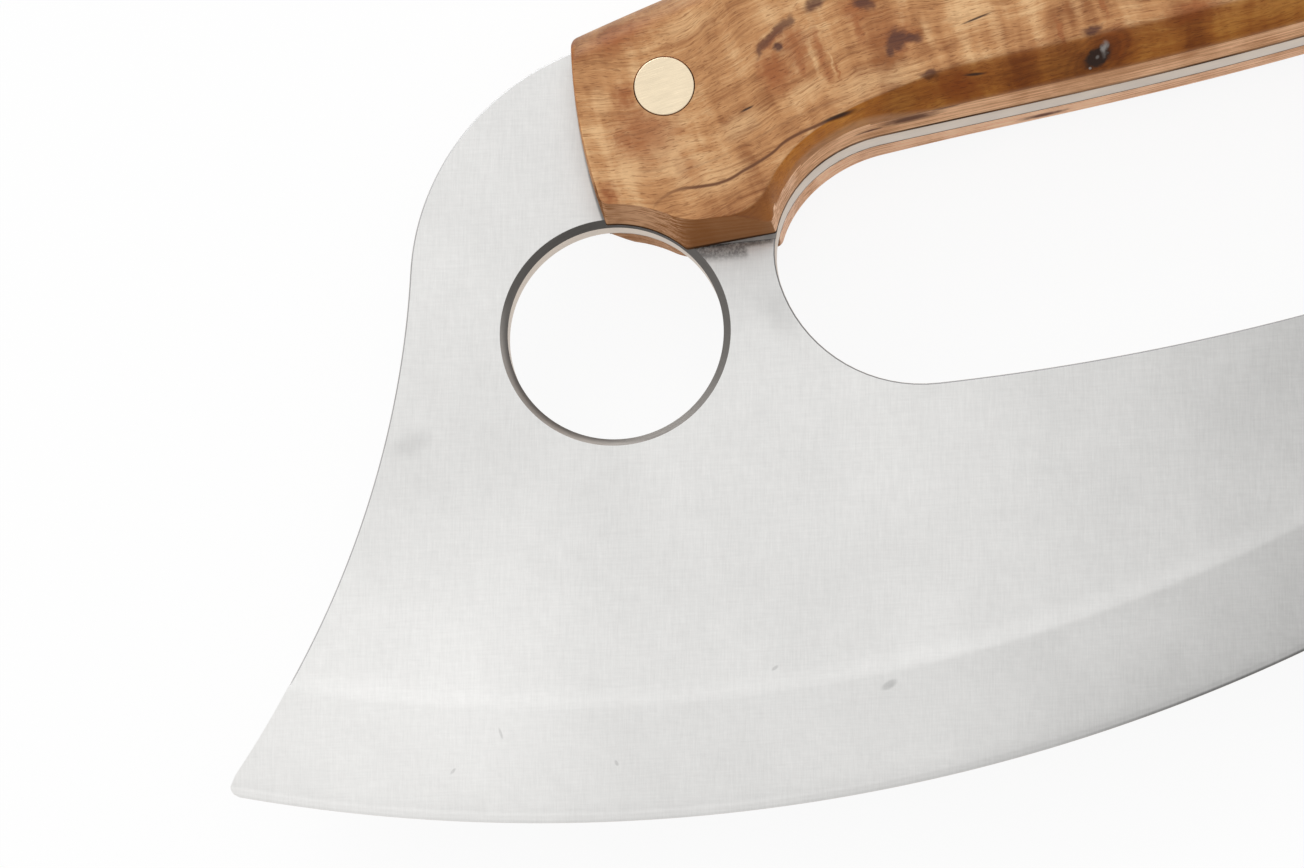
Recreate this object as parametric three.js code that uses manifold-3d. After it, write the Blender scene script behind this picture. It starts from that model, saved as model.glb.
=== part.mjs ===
import * as THREE from 'three';
import { mergeVertices } from 'three/addons/utils/BufferGeometryUtils.js';
import Module from 'manifold-3d';

// A full-tang ulu chopping knife, lying on its right side. One steel plate is the blade and the
// tang, and two birch scales are glued and pinned to the tang. Sizes are in millimetres. The plan
// is drawn from the centre of the finger hole: +X runs along the handle, away from the nose, +Y
// runs from the cutting edge to the handle, and +Z is square to the blade, towards its left side.

// Height in plan, from the lowest point of the cutting edge to the handle's back
const KNIFE_HEIGHT = 86.9;

// Blade plate
const BLADE_THICKNESS = 3.2;
const EDGE_RADIUS = 175.4;
const EDGE_LOWEST_X = 23.6;
const EDGE_DROP = 51.5;
const NOSE_REACH = 48.9;
const NOSE_RADIUS = 1.5;
const FLANK_RADIUS = 96.8;
const HEAD_RADIUS = 25.4;
const HEAD_OFFSET = 5.7;
const HEEL_REACH = 58;
const REAR_CORNER_RADIUS = 9;
const REAR_STEEL_MARGIN = 4.35;

// Grind of the cutting edge
const GRIND_HEIGHT = 11.8;
const SECOND_BEVEL_HEIGHT = 0.8;
const SECOND_BEVEL_THICKNESS = 0.6;
const EDGE_LAND = 0.12;

// Finger hole
const FINGER_HOLE_RADIUS = 10.9;
const FINGER_CHAMFER_WIDTH = 0.75;
const FINGER_CHAMFER_DEPTH = 0.5;

// Hand hole
const HAND_HOLE_LENGTH = 92.5;
const HAND_HOLE_ROOF = 13.15;
const HAND_HOLE_ROOF_SAG = 1;
const HAND_HOLE_DROP = 15.35;
const HAND_HOLE_FLOOR_RADIUS = 243;
const HAND_HOLE_LOWER_CORNER = 15;
const HAND_HOLE_UPPER_CORNER = 13.3;

// Handle
const HANDLE_MIDDLE_X = 63.5;
const HANDLE_TOP = KNIFE_HEIGHT - EDGE_DROP;
const HANDLE_TOP_RADIUS = 316;
const SCALE_LENGTH = 124.3;
const SCALE_THICKNESS = 7.35;
const SCALE_END_RADIUS = 56;
const SCALE_END_APEX = 17;
const SCALE_CORNER_RADIUS = 1;
const SCALE_NECK_HEIGHT = 5.3;
const SCALE_NECK_SLOPE = 0.15;
const SCALE_WALL_HEIGHT = 4.6;
const SCOOP_SETBACK = 0.1;
const SCOOP_FLARE = 0.85;
const BOND_THICKNESS = 0.15;

// Widths of the scales' bevels, from the plan outline to the flat side face
const TOP_BEVEL = 2.6;
const END_BEVEL = 0.3;
const NECK_BEVEL = 1.1;
const HOLE_END_BEVEL = 1.5;
const GRIP_BEVEL = 3.6;
const GRIP_BEVEL_RUN = 28;

// Shares of those widths that the wall leans in by, and that the bevel has reached at half height
const WALL_LEAN_SHARE = 0.08;
const HALF_BEVEL_SHARE = 0.47;

// Pins, which keep their depth below the handle's back
const PIN_DIAMETER = 6;
const PIN_CLEARANCE = 0.1;
const PIN_END_DISTANCE = 9.45;
const END_PIN_DEPTH = 13.9;
const MIDDLE_PIN_DEPTH = 10.4;
const END_PIN_HEIGHT = HANDLE_TOP - END_PIN_DEPTH;
const MIDDLE_PIN_HEIGHT = HANDLE_TOP - MIDDLE_PIN_DEPTH;

// How far cutters and blanks run past what they cut, and the largest error of a faceted arc
const OVERRUN = 4;
const ARC_ERROR = 0.03;
const ROOF_STEPS = 8;
const CORNER_STEPS = 4;
const MERGE_TOLERANCE = 1e-4;

// Share of the bevel that each layer of a scale is drawn in by, and its height above the bond
const BEVEL_LAYERS = [
  { share: 0, height: 0 },
  { share: WALL_LEAN_SHARE, height: SCALE_WALL_HEIGHT },
  { share: HALF_BEVEL_SHARE, height: (SCALE_WALL_HEIGHT + SCALE_THICKNESS) / 2 },
  { share: 1, height: SCALE_THICKNESS },
];

const { degToRad, lerp, radToDeg, smoothstep } = THREE.MathUtils;
const point = (x, y) => new THREE.Vector2(x, y);

// Places that several pieces share
const fingerCentre = point(0, 0);
const edgeCentre = point(EDGE_LOWEST_X, EDGE_RADIUS - EDGE_DROP);
const topCentre = point(HANDLE_MIDDLE_X, HANDLE_TOP - HANDLE_TOP_RADIUS);
const handHoleFrontX = HANDLE_MIDDLE_X - HAND_HOLE_LENGTH / 2;
const scaleFrontX = HANDLE_MIDDLE_X - SCALE_LENGTH / 2;
const scaleRearX = HANDLE_MIDDLE_X + SCALE_LENGTH / 2;
const bondBase = BLADE_THICKNESS / 2;
const scaleBase = bondBase + BOND_THICKNESS;
const handleThickness = 2 * (scaleBase + SCALE_THICKNESS);
const pinPlaces = {
  front_pin: point(scaleFrontX + PIN_END_DISTANCE, END_PIN_HEIGHT),
  middle_pin: point(HANDLE_MIDDLE_X, MIDDLE_PIN_HEIGHT),
  rear_pin: point(scaleRearX - PIN_END_DISTANCE, END_PIN_HEIGHT),
};

// Plan geometry

const angleFrom = (centre, place) => radToDeg(place.clone().sub(centre).angle());
const arcStep = (radius) => radToDeg(2 * Math.acos(1 - ARC_ERROR / radius));
const fullTurnSteps = (radius) => Math.ceil(360 / arcStep(radius));
const stepsAcross = (reach, radius) => Math.ceil(radToDeg(Math.asin(reach / radius)) / arcStep(radius));

// Points of an arc, or of an upright ellipse's arc, from one angle to another, ends included.
function arc(centre, radius, startAngle, endAngle, options = {}) {
  const { heightRadius = radius, steps } = options;
  const step = arcStep(Math.max(radius, heightRadius));
  const count = steps ?? Math.ceil(Math.abs(endAngle - startAngle) / step);
  return Array.from({ length: count + 1 }, (_, index) => {
    const angle = degToRad(lerp(startAngle, endAngle, index / count));
    return point(centre.x + radius * Math.cos(angle), centre.y + heightRadius * Math.sin(angle));
  });
}

// The two points where two circles meet, the one with the smaller X first.
function circlesMeet(centreA, radiusA, centreB, radiusB) {
  const gap = centreA.distanceTo(centreB);
  const along = (radiusA ** 2 - radiusB ** 2 + gap ** 2) / (2 * gap);
  const across = Math.sqrt(radiusA ** 2 - along ** 2);
  const unit = centreB.clone().sub(centreA).normalize();
  const foot = centreA.clone().addScaledVector(unit, along);
  const normal = point(-unit.y, unit.x);
  const meets = [1, -1].map((side) => foot.clone().addScaledVector(normal, side * across));
  return meets.sort((a, b) => a.x - b.x);
}

// The point with the smaller X where the line through a place, with a slope, meets a circle.
function lineMeetsCircle(place, slope, centre, radius) {
  const unit = point(1, slope).normalize();
  const toCentre = centre.clone().sub(place);
  const along = toCentre.dot(unit);
  const away = toCentre.cross(unit);
  return place.clone().addScaledVector(unit, along - Math.sqrt(radius ** 2 - away ** 2));
}

// Centre of a small circle that touches a large one from inside, at a given X.
function innerTangentCentre(centre, radius, smallRadius, x, side) {
  return point(x, centre.y + side * Math.sqrt((radius - smallRadius) ** 2 - (x - centre.x) ** 2));
}

const mirrored = (points) => points.map((p) => point(2 * HANDLE_MIDDLE_X - p.x, p.y)).reverse();

function withoutRepeats(points) {
  return points.filter((p, index) => p.distanceTo(points[(index + 1) % points.length]) > MERGE_TOLERANCE);
}

// Solids

const wasm = await Module();
wasm.setup();

function toSolid(geometry) {
  const bare = geometry.clone();
  bare.deleteAttribute('normal');
  bare.deleteAttribute('uv');
  const merged = mergeVertices(bare, MERGE_TOLERANCE);
  const vertProperties = new Float32Array(merged.attributes.position.array);
  const triVerts = new Uint32Array(merged.index.array);
  return new wasm.Manifold(new wasm.Mesh({ numProp: 3, vertProperties, triVerts }));
}

function toGeometry(solid) {
  const { vertProperties, triVerts } = solid.getMesh();
  const geometry = new THREE.BufferGeometry();
  geometry.setAttribute('position', new THREE.BufferAttribute(new Float32Array(vertProperties), 3));
  geometry.setIndex(new THREE.BufferAttribute(new Uint32Array(triVerts), 1));
  geometry.computeVertexNormals();
  return geometry;
}

const cutAway = (solid, cutters) => cutters.reduce((rest, cutter) => rest.subtract(cutter), solid);

// A plate with square edges, from one height to another.
function plate(outline, low, high, holes = []) {
  const shape = new THREE.Shape(outline);
  shape.holes = holes.map((hole) => new THREE.Path(hole));
  const geometry = new THREE.ExtrudeGeometry(shape, { depth: high - low, bevelEnabled: false });
  return toSolid(geometry.translate(0, 0, low));
}

// A solid through outlines of equal length, stacked upwards, with flat ends.
function loft(layers) {
  const count = layers[0].outline.length;
  const positions = layers.flatMap(({ outline, height }) => outline.flatMap((p) => [p.x, p.y, height]));
  const triangles = [];
  for (let layer = 0; layer < layers.length - 1; layer += 1) {
    for (let index = 0; index < count; index += 1) {
      const next = (index + 1) % count;
      const [a, b] = [layer * count + index, layer * count + next];
      triangles.push([a, b, b + count], [a, b + count, a + count]);
    }
  }
  const last = (layers.length - 1) * count;
  const lowCap = THREE.ShapeUtils.triangulateShape(layers[0].outline, []);
  const highCap = THREE.ShapeUtils.triangulateShape(layers.at(-1).outline, []);
  lowCap.forEach(([a, b, c]) => triangles.push([a, c, b]));
  highCap.forEach(([a, b, c]) => triangles.push([last + a, last + b, last + c]));
  const geometry = new THREE.BufferGeometry();
  geometry.setAttribute('position', new THREE.Float32BufferAttribute(positions, 3));
  geometry.setIndex(triangles.flat());
  return toSolid(geometry);
}

// A solid of revolution about an upright axis, from a profile of radius and height.
function turned(profile, centre, steps) {
  const geometry = new THREE.LatheGeometry(profile, steps);
  geometry.rotateX(Math.PI / 2);
  return toSolid(geometry.translate(centre.x, centre.y, 0));
}

function cylinder(centre, radius, length) {
  const half = length / 2;
  const profile = [point(0, -half), point(radius, -half), point(radius, half), point(0, half)];
  return turned(profile, centre, fullTurnSteps(radius));
}

// Outlines

// The front half of the hand hole's outline, from the middle of its floor to the middle of its roof.
function handHoleHalf() {
  const floorCentre = point(HANDLE_MIDDLE_X, HAND_HOLE_FLOOR_RADIUS - HAND_HOLE_DROP);
  const cornerX = handHoleFrontX + HAND_HOLE_LOWER_CORNER;
  const corner = innerTangentCentre(
    floorCentre, HAND_HOLE_FLOOR_RADIUS, HAND_HOLE_LOWER_CORNER, cornerX, -1,
  );
  const joinAngle = angleFrom(floorCentre, corner);
  return {
    cornerHeight: corner.y,
    points: [
      ...arc(floorCentre, HAND_HOLE_FLOOR_RADIUS, 270, joinAngle),
      ...arc(corner, HAND_HOLE_LOWER_CORNER, joinAngle, 180),
      ...roofHalf(corner.y, 180, 0, 0),
    ],
  };
}

// The front half of the hand hole's roof, drawn in by a bevel: a quarter of an ellipse and then a
// stretch that sags towards the middle. The bevel widens by the lift as it leaves the hole's end.
function roofHalf(cornerHeight, startAngle, inset, lift) {
  const centre = point(handHoleFrontX + HAND_HOLE_UPPER_CORNER, cornerHeight);
  const cornerRise = HAND_HOLE_ROOF - cornerHeight;
  const steps = Math.ceil(90 / arcStep(cornerRise));
  const radii = { heightRadius: cornerRise + inset, steps };
  const corner = arc(centre, HAND_HOLE_UPPER_CORNER + inset, startAngle, 90, radii);
  const stretch = Array.from({ length: ROOF_STEPS }, (_, index) => (
    point(lerp(centre.x, HANDLE_MIDDLE_X, (index + 1) / ROOF_STEPS), HAND_HOLE_ROOF + inset)
  ));
  return [...corner, ...stretch].map(({ x, y }) => {
    const sag = HAND_HOLE_ROOF_SAG * smoothstep(x, handHoleFrontX, HANDLE_MIDDLE_X);
    return point(x, y - sag + lift * smoothstep(x, handHoleFrontX, handHoleFrontX + GRIP_BEVEL_RUN));
  });
}

const handHole = handHoleHalf();
const handHoleOutline = withoutRepeats([...handHole.points, ...mirrored(handHole.points)]).reverse();

// The plate's outline, run past the cutting edge, which the grind then cuts.
function bladeOutline() {
  const head = innerTangentCentre(topCentre, HANDLE_TOP_RADIUS, HEAD_RADIUS, HEAD_OFFSET, 1);
  const rearX = scaleRearX + REAR_STEEL_MARGIN - REAR_CORNER_RADIUS;
  const rearCorner = innerTangentCentre(topCentre, HANDLE_TOP_RADIUS, REAR_CORNER_RADIUS, rearX, 1);
  const nose = innerTangentCentre(edgeCentre, EDGE_RADIUS, 0, -NOSE_REACH, -1);
  const heel = innerTangentCentre(edgeCentre, EDGE_RADIUS, 0, HANDLE_MIDDLE_X + HEEL_REACH, -1);
  const flank = circlesMeet(head, HEAD_RADIUS + FLANK_RADIUS, nose, FLANK_RADIUS)[0];

  const heelToCorner = rearCorner.clone().sub(heel);
  const lean = Math.asin(REAR_CORNER_RADIUS / heelToCorner.length());
  const rearAngle = heelToCorner.angle() - lean;
  const rearUnit = point(Math.cos(rearAngle), Math.sin(rearAngle));
  const rearNormalAngle = radToDeg(rearAngle) - 90;

  const tip = circlesMeet(flank, FLANK_RADIUS + NOSE_RADIUS, edgeCentre, EDGE_RADIUS - NOSE_RADIUS)[1];
  const tipAngle = angleFrom(edgeCentre, tip);
  const heelEnd = heel.clone().addScaledVector(rearUnit, -OVERRUN);
  return withoutRepeats([
    ...arc(edgeCentre, EDGE_RADIUS + OVERRUN, tipAngle, angleFrom(edgeCentre, heelEnd)),
    heel,
    ...arc(rearCorner, REAR_CORNER_RADIUS, rearNormalAngle, angleFrom(topCentre, rearCorner)),
    ...arc(topCentre, HANDLE_TOP_RADIUS, angleFrom(topCentre, rearCorner), angleFrom(topCentre, head)),
    ...arc(head, HEAD_RADIUS, angleFrom(topCentre, head), angleFrom(head, flank)),
    ...arc(flank, FLANK_RADIUS, angleFrom(flank, head), angleFrom(flank, tip)),
    ...arc(tip, NOSE_RADIUS, angleFrom(tip, flank), tipAngle),
  ]);
}

// A scale's outline, drawn in by a share of its bevels. Every share gives as many points.
function scaleOutline(share) {
  const topRadius = HANDLE_TOP_RADIUS - share * TOP_BEVEL;
  const endRadius = SCALE_END_RADIUS - share * END_BEVEL;
  const endCentre = point(scaleFrontX + SCALE_END_RADIUS, SCALE_END_APEX);
  const round = SCALE_CORNER_RADIUS;
  const fillet = circlesMeet(endCentre, endRadius - round, topCentre, topRadius - round)[0];
  const topAngle = angleFrom(topCentre, fillet);
  const endAngle = angleFrom(endCentre, fillet);

  const inset = share * HOLE_END_BEVEL;
  const neckHeight = SCALE_NECK_HEIGHT + share * NECK_BEVEL;
  const rise = (neckHeight - handHole.cornerHeight) / (HAND_HOLE_ROOF + inset - handHole.cornerHeight);
  const neckAngle = 180 - radToDeg(Math.asin(rise));
  const lift = share * (GRIP_BEVEL - HOLE_END_BEVEL);
  const underside = roofHalf(handHole.cornerHeight, neckAngle, inset, lift);
  const neckCorner = lineMeetsCircle(underside[0], -SCALE_NECK_SLOPE, endCentre, endRadius);

  const topSteps = stepsAcross(SCALE_LENGTH / 2, HANDLE_TOP_RADIUS);
  const endSteps = stepsAcross(HANDLE_TOP, SCALE_END_RADIUS);
  const half = [
    ...arc(topCentre, topRadius, 90, topAngle, { steps: topSteps }),
    ...arc(fillet, round, topAngle, endAngle, { steps: CORNER_STEPS }).slice(1),
    ...arc(endCentre, endRadius, endAngle, angleFrom(endCentre, neckCorner), { steps: endSteps }).slice(1),
    ...underside,
  ];
  return [...half.slice(0, -1), ...mirrored(half).slice(0, -1)];
}

// Cutters

const pinHoles = Object.values(pinPlaces).map((place) => (
  cylinder(place, PIN_DIAMETER / 2 + PIN_CLEARANCE, handleThickness + 2 * OVERRUN)
));

// A hole about the finger hole's centre that widens towards both faces and runs past them.
function flaredHole(radius, face, flareWidth, flareDepth) {
  const end = face + OVERRUN;
  const endRadius = radius + flareWidth * (1 + OVERRUN / flareDepth);
  const throat = face - flareDepth;
  const profile = [
    point(0, -end),
    point(endRadius, -end),
    point(radius, -throat),
    point(radius, throat),
    point(endRadius, end),
    point(0, end),
  ];
  return turned(profile, fingerCentre, fullTurnSteps(radius));
}

const fingerHole = flaredHole(
  FINGER_HOLE_RADIUS, BLADE_THICKNESS / 2, FINGER_CHAMFER_WIDTH, FINGER_CHAMFER_DEPTH,
);
const scoop = flaredHole(
  FINGER_HOLE_RADIUS + SCOOP_SETBACK, handleThickness / 2, SCOOP_FLARE, SCALE_THICKNESS,
);

// A ring round the plate's rim that leaves both grinds, the second bevels and the cutting edge.
function grindCutter() {
  const face = BLADE_THICKNESS / 2;
  const grindRadius = EDGE_RADIUS - GRIND_HEIGHT;
  const slope = (BLADE_THICKNESS - SECOND_BEVEL_THICKNESS) / 2 / (GRIND_HEIGHT - SECOND_BEVEL_HEIGHT);
  const upperHalf = [
    point(EDGE_RADIUS, EDGE_LAND / 2),
    point(EDGE_RADIUS - SECOND_BEVEL_HEIGHT, SECOND_BEVEL_THICKNESS / 2),
    point(grindRadius - OVERRUN, face + OVERRUN * slope),
    point(grindRadius - OVERRUN, face + OVERRUN),
    point(EDGE_RADIUS + 2 * OVERRUN, face + OVERRUN),
  ];
  const lowerHalf = upperHalf.map((p) => point(p.x, -p.y));
  const upperFromRim = upperHalf.toReversed();
  const profile = [lowerHalf.at(-1), ...upperFromRim, ...lowerHalf];
  return turned(profile, edgeCentre, fullTurnSteps(EDGE_RADIUS));
}

// Pieces

function bladeGeometry() {
  const blank = plate(bladeOutline(), -BLADE_THICKNESS / 2, BLADE_THICKNESS / 2, [handHoleOutline]);
  return toGeometry(cutAway(blank, [grindCutter(), fingerHole, ...pinHoles]));
}

// A scale on the left side of the tang, or its mirror image on the right side.
function scaleGeometry(side) {
  const layers = BEVEL_LAYERS.map(({ share, height }) => (
    { outline: scaleOutline(share), height: side * (scaleBase + height) }
  ));
  layers.sort((a, b) => a.height - b.height);
  return toGeometry(cutAway(loft(layers), [scoop, ...pinHoles]));
}

function bondGeometry(side) {
  const [low, high] = [side * bondBase, side * scaleBase].sort((a, b) => a - b);
  return toGeometry(cutAway(plate(scaleOutline(0), low, high), [scoop, ...pinHoles]));
}

const steel = new THREE.MeshStandardMaterial({ color: 0xd8d8d6, roughness: 0.38, metalness: 1 });
const birch = new THREE.MeshStandardMaterial({ color: 0xc08a50, roughness: 0.42, metalness: 0 });
const epoxy = new THREE.MeshStandardMaterial({ color: 0x4a3a2c, roughness: 0.6, metalness: 0 });
const brass = new THREE.MeshStandardMaterial({ color: 0xe8cf96, roughness: 0.35, metalness: 1 });

const knife = new THREE.Group();

function addPiece(name, geometry, material) {
  const piece = new THREE.Mesh(geometry, material);
  piece.name = name;
  knife.add(piece);
}

addPiece('blade', bladeGeometry(), steel);
addPiece('left_bond_layer', bondGeometry(1), epoxy);
addPiece('right_bond_layer', bondGeometry(-1), epoxy);
addPiece('left_scale', scaleGeometry(1), birch);
addPiece('right_scale', scaleGeometry(-1), birch);
for (const [name, place] of Object.entries(pinPlaces)) {
  addPiece(name, toGeometry(cylinder(place, PIN_DIAMETER / 2, handleThickness)), brass);
}

// The knife lies on its right scale, with the middle of its outline over the origin.
const extent = new THREE.Box3().setFromObject(knife);
const middle = extent.getCenter(new THREE.Vector3());
knife.position.set(-middle.x, -middle.y, -extent.min.z);

export default knife;
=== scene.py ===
"""Looks of a full-tang ulu chopping knife: satin steel, curly birch scales and brass pins."""

from math import asin, atan2, cos, pi, radians, sin, sqrt, tau

import bmesh
import bpy
from mathutils import Matrix, Vector
from mathutils.geometry import interpolate_bezier, intersect_line_sphere_2d, intersect_sphere_sphere_2d


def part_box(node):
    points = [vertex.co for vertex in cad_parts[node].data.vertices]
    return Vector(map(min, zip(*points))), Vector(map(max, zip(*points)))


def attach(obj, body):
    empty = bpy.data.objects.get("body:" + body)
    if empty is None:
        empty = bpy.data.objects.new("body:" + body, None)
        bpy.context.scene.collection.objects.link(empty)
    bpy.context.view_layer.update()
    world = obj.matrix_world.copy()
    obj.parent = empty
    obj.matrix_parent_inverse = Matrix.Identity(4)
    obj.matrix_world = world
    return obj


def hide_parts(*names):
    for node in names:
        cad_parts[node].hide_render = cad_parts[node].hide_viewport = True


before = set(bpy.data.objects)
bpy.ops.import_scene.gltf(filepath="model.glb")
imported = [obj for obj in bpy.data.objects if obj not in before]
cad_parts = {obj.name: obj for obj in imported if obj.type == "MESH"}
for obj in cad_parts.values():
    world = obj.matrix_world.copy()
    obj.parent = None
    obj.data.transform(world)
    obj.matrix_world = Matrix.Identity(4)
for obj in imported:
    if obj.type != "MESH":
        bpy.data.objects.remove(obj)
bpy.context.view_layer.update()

bl_info = {
    "name": "Ulu knife looks",
    "version": (1, 0, 0),
    "blender": (4, 5, 0),
    "location": "3D View > Sidebar > Ulu knife",
    "description": "Builds the blade, the scales, the pins and the glue lines of an ulu knife",
    "category": "Object",
}

MM = 0.001


# Sizes and colours

def length(name, millimetres, description):
    return bpy.props.FloatProperty(
        name=name, description=description, default=millimetres * MM, unit="LENGTH", precision=5)


def tint(name, red, green, blue, description):
    return bpy.props.FloatVectorProperty(
        name=name, description=description, default=(red, green, blue),
        subtype="COLOR", size=3, min=0, max=1)


class UluSizes(bpy.types.PropertyGroup):
    """Sizes of the knife, drawn in plan from the centre of the finger hole."""

    plate: length("Plate", 3.2, "Thickness of the steel plate")
    edge_radius: length("Edge radius", 175.4, "Radius of the cutting edge in plan")
    edge_lowest: length("Edge lowest", 23.6, "Place of the edge's lowest point along the handle")
    edge_drop: length("Edge drop", 51.5, "Depth of the edge below the finger hole's centre")
    nose_reach: length("Nose reach", 48.9, "Reach of the nose in front of the finger hole's centre")
    nose_radius: length("Nose radius", 1.1, "Rounding of the tip in plan")
    flank_radius: length("Flank radius", 96.8, "Radius of the hollow front flank")
    head_radius: length("Head radius", 25.4, "Radius of the steel above the finger hole")
    head_offset: length("Head offset", 5.7, "Place of the head's centre along the handle")
    heel_reach: length("Heel reach", 58, "Reach of the heel behind the middle of the handle")
    rear_corner: length("Rear corner", 9, "Radius of the steel behind the handle")
    rear_margin: length("Rear margin", 4.35, "Steel that shows behind the scales")
    grind_height: length("Grind height", 11.4, "Width of the grind above the cutting edge")
    grind_soft: length("Grind softness", 0.4, "Half the width that the grind's upper line is rounded over")
    fine_height: length("Fine bevel height", 0.8, "Width of the second bevel along the edge")
    fine_thickness: length("Fine bevel thickness", 0.6, "Thickness where the second bevel starts")
    edge_land: length("Edge land", 0.12, "Thickness of the cutting edge")
    edge_break: length("Edge break", 0.16, "Rounding of the plate's rims")
    finger_radius: length("Finger hole", 10.9, "Radius of the finger hole")
    chamfer_width: length("Chamfer width", 0.75, "Width of the finger hole's chamfer")
    chamfer_depth: length("Chamfer depth", 0.5, "Depth of the finger hole's chamfer")
    hand_length: length("Hand hole length", 92.5, "Length of the hand hole")
    hand_roof: length("Hand hole roof", 13.15, "Height of the hand hole's roof at its ends")
    hand_sag: length("Roof sag", 1, "How far the roof comes down in the middle")
    hand_drop: length("Hand hole drop", 15.35, "Depth of the hand hole's floor in the middle")
    hand_floor: length("Floor radius", 243, "Radius of the hand hole's floor")
    hand_lower: length("Lower corner", 15, "Radius of the hand hole's lower corners")
    hand_upper: length("Upper corner", 13.3, "Length of the hand hole's upper corners")
    middle: length("Handle middle", 63.5, "Place of the handle's middle")
    top: length("Handle top", 35.4, "Height of the handle's top in the middle")
    top_radius: length("Top radius", 316, "Radius of the handle's back")
    scale_length: length("Scale length", 124.3, "Length of the scales")
    scale_thickness: length("Scale thickness", 7.35, "Thickness of one scale")
    end_radius: length("End radius", 56, "Radius of the scales' ends in plan")
    end_apex: length("End apex", 17, "Height of the foremost point of the scales' ends")
    end_corner: length("End corner", 1, "Rounding of the scales' upper corners in plan")
    neck_height: length("Neck height", 5.83, "Height of the scales' neck at the hand hole")
    wall_height: length("Wall height", 4.6, "Height of a scale's wall below its bevel")
    scoop_setback: length("Scoop setback", 0.1, "How far the scoop stands back from the finger hole")
    brow_radius: length("Scoop brow radius", 14.74, "Radius of the scoop's upper edge, in the side face")
    brow_back: length("Scoop brow set back", 0.55, "How far its centre lies in front of the finger hole's")
    brow_drop: length("Scoop brow drop", 3.33, "How far its centre lies below the finger hole's")
    bond: length("Glue line", 0.15, "Thickness of the glue line")
    top_bevel: length("Top bevel", 2.6, "Width of the bevel along the back")
    end_bevel: length("End bevel", 0.3, "Width of the bevel at the ends")
    neck_bevel: length("Neck bevel", 0.57, "Width of the bevel along the neck")
    hole_bevel: length("Hole bevel", 1.3, "Width of the bevel at the hand hole's ends")
    grip_bevel: length("Grip bevel", 3.6, "Width of the bevel along the grip")
    grip_start: length("Grip start", 7, "Where the grip bevel starts to widen, from the hand hole's end")
    grip_run: length("Grip run", 24, "Where the grip bevel has its full width, from the hand hole's end")
    neck_round: length("Neck rounding", 3.2, "Rounding of the neck at the hand hole, in the side face")
    back_wall: length("Back wall", 3, "Height of a scale's wall below the rounding of its back")
    back_reach: length("Back rounding", 3.4, "Width of the rounding along the back")
    far_brow_back: length("Far brow set back", 1.75, "Scoop brow's set back on the right scale")
    far_brow_drop: length("Far brow drop", 2.35, "Scoop brow's drop on the right scale")
    far_neck: length("Far neck", 0.5, "How much higher the right scale's neck is than the left one's")
    far_round: length("Far rounding", 1.5, "Rounding of the right scale's lower front corner")
    small_round: length("Small rounding", 1.6, "Rounding of the scoop's corners, in the side face")
    sharp_round: length("Sharp rounding", 0.25, "Rounding of the scales' corners at their base")
    pin_diameter: length("Pin diameter", 6, "Diameter of the brass pins")
    pin_clearance: length("Pin clearance", 0.1, "Dark gap round a pin")
    pin_distance: length("Pin distance", 9.45, "Distance of the end pins from the scales' ends")
    end_pin_height: length("End pin height", 21.5, "Height of the end pins")
    middle_pin_height: length("Middle pin height", 25, "Height of the middle pin")
    neck_slope: bpy.props.FloatProperty(
        name="Neck slope", default=0.15,
        description="Rise of the neck line towards the finger hole, in the side face")
    base_slope: bpy.props.FloatProperty(
        name="Base slope", default=0.06,
        description="Rise of the neck line towards the finger hole, at the tang")


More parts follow.
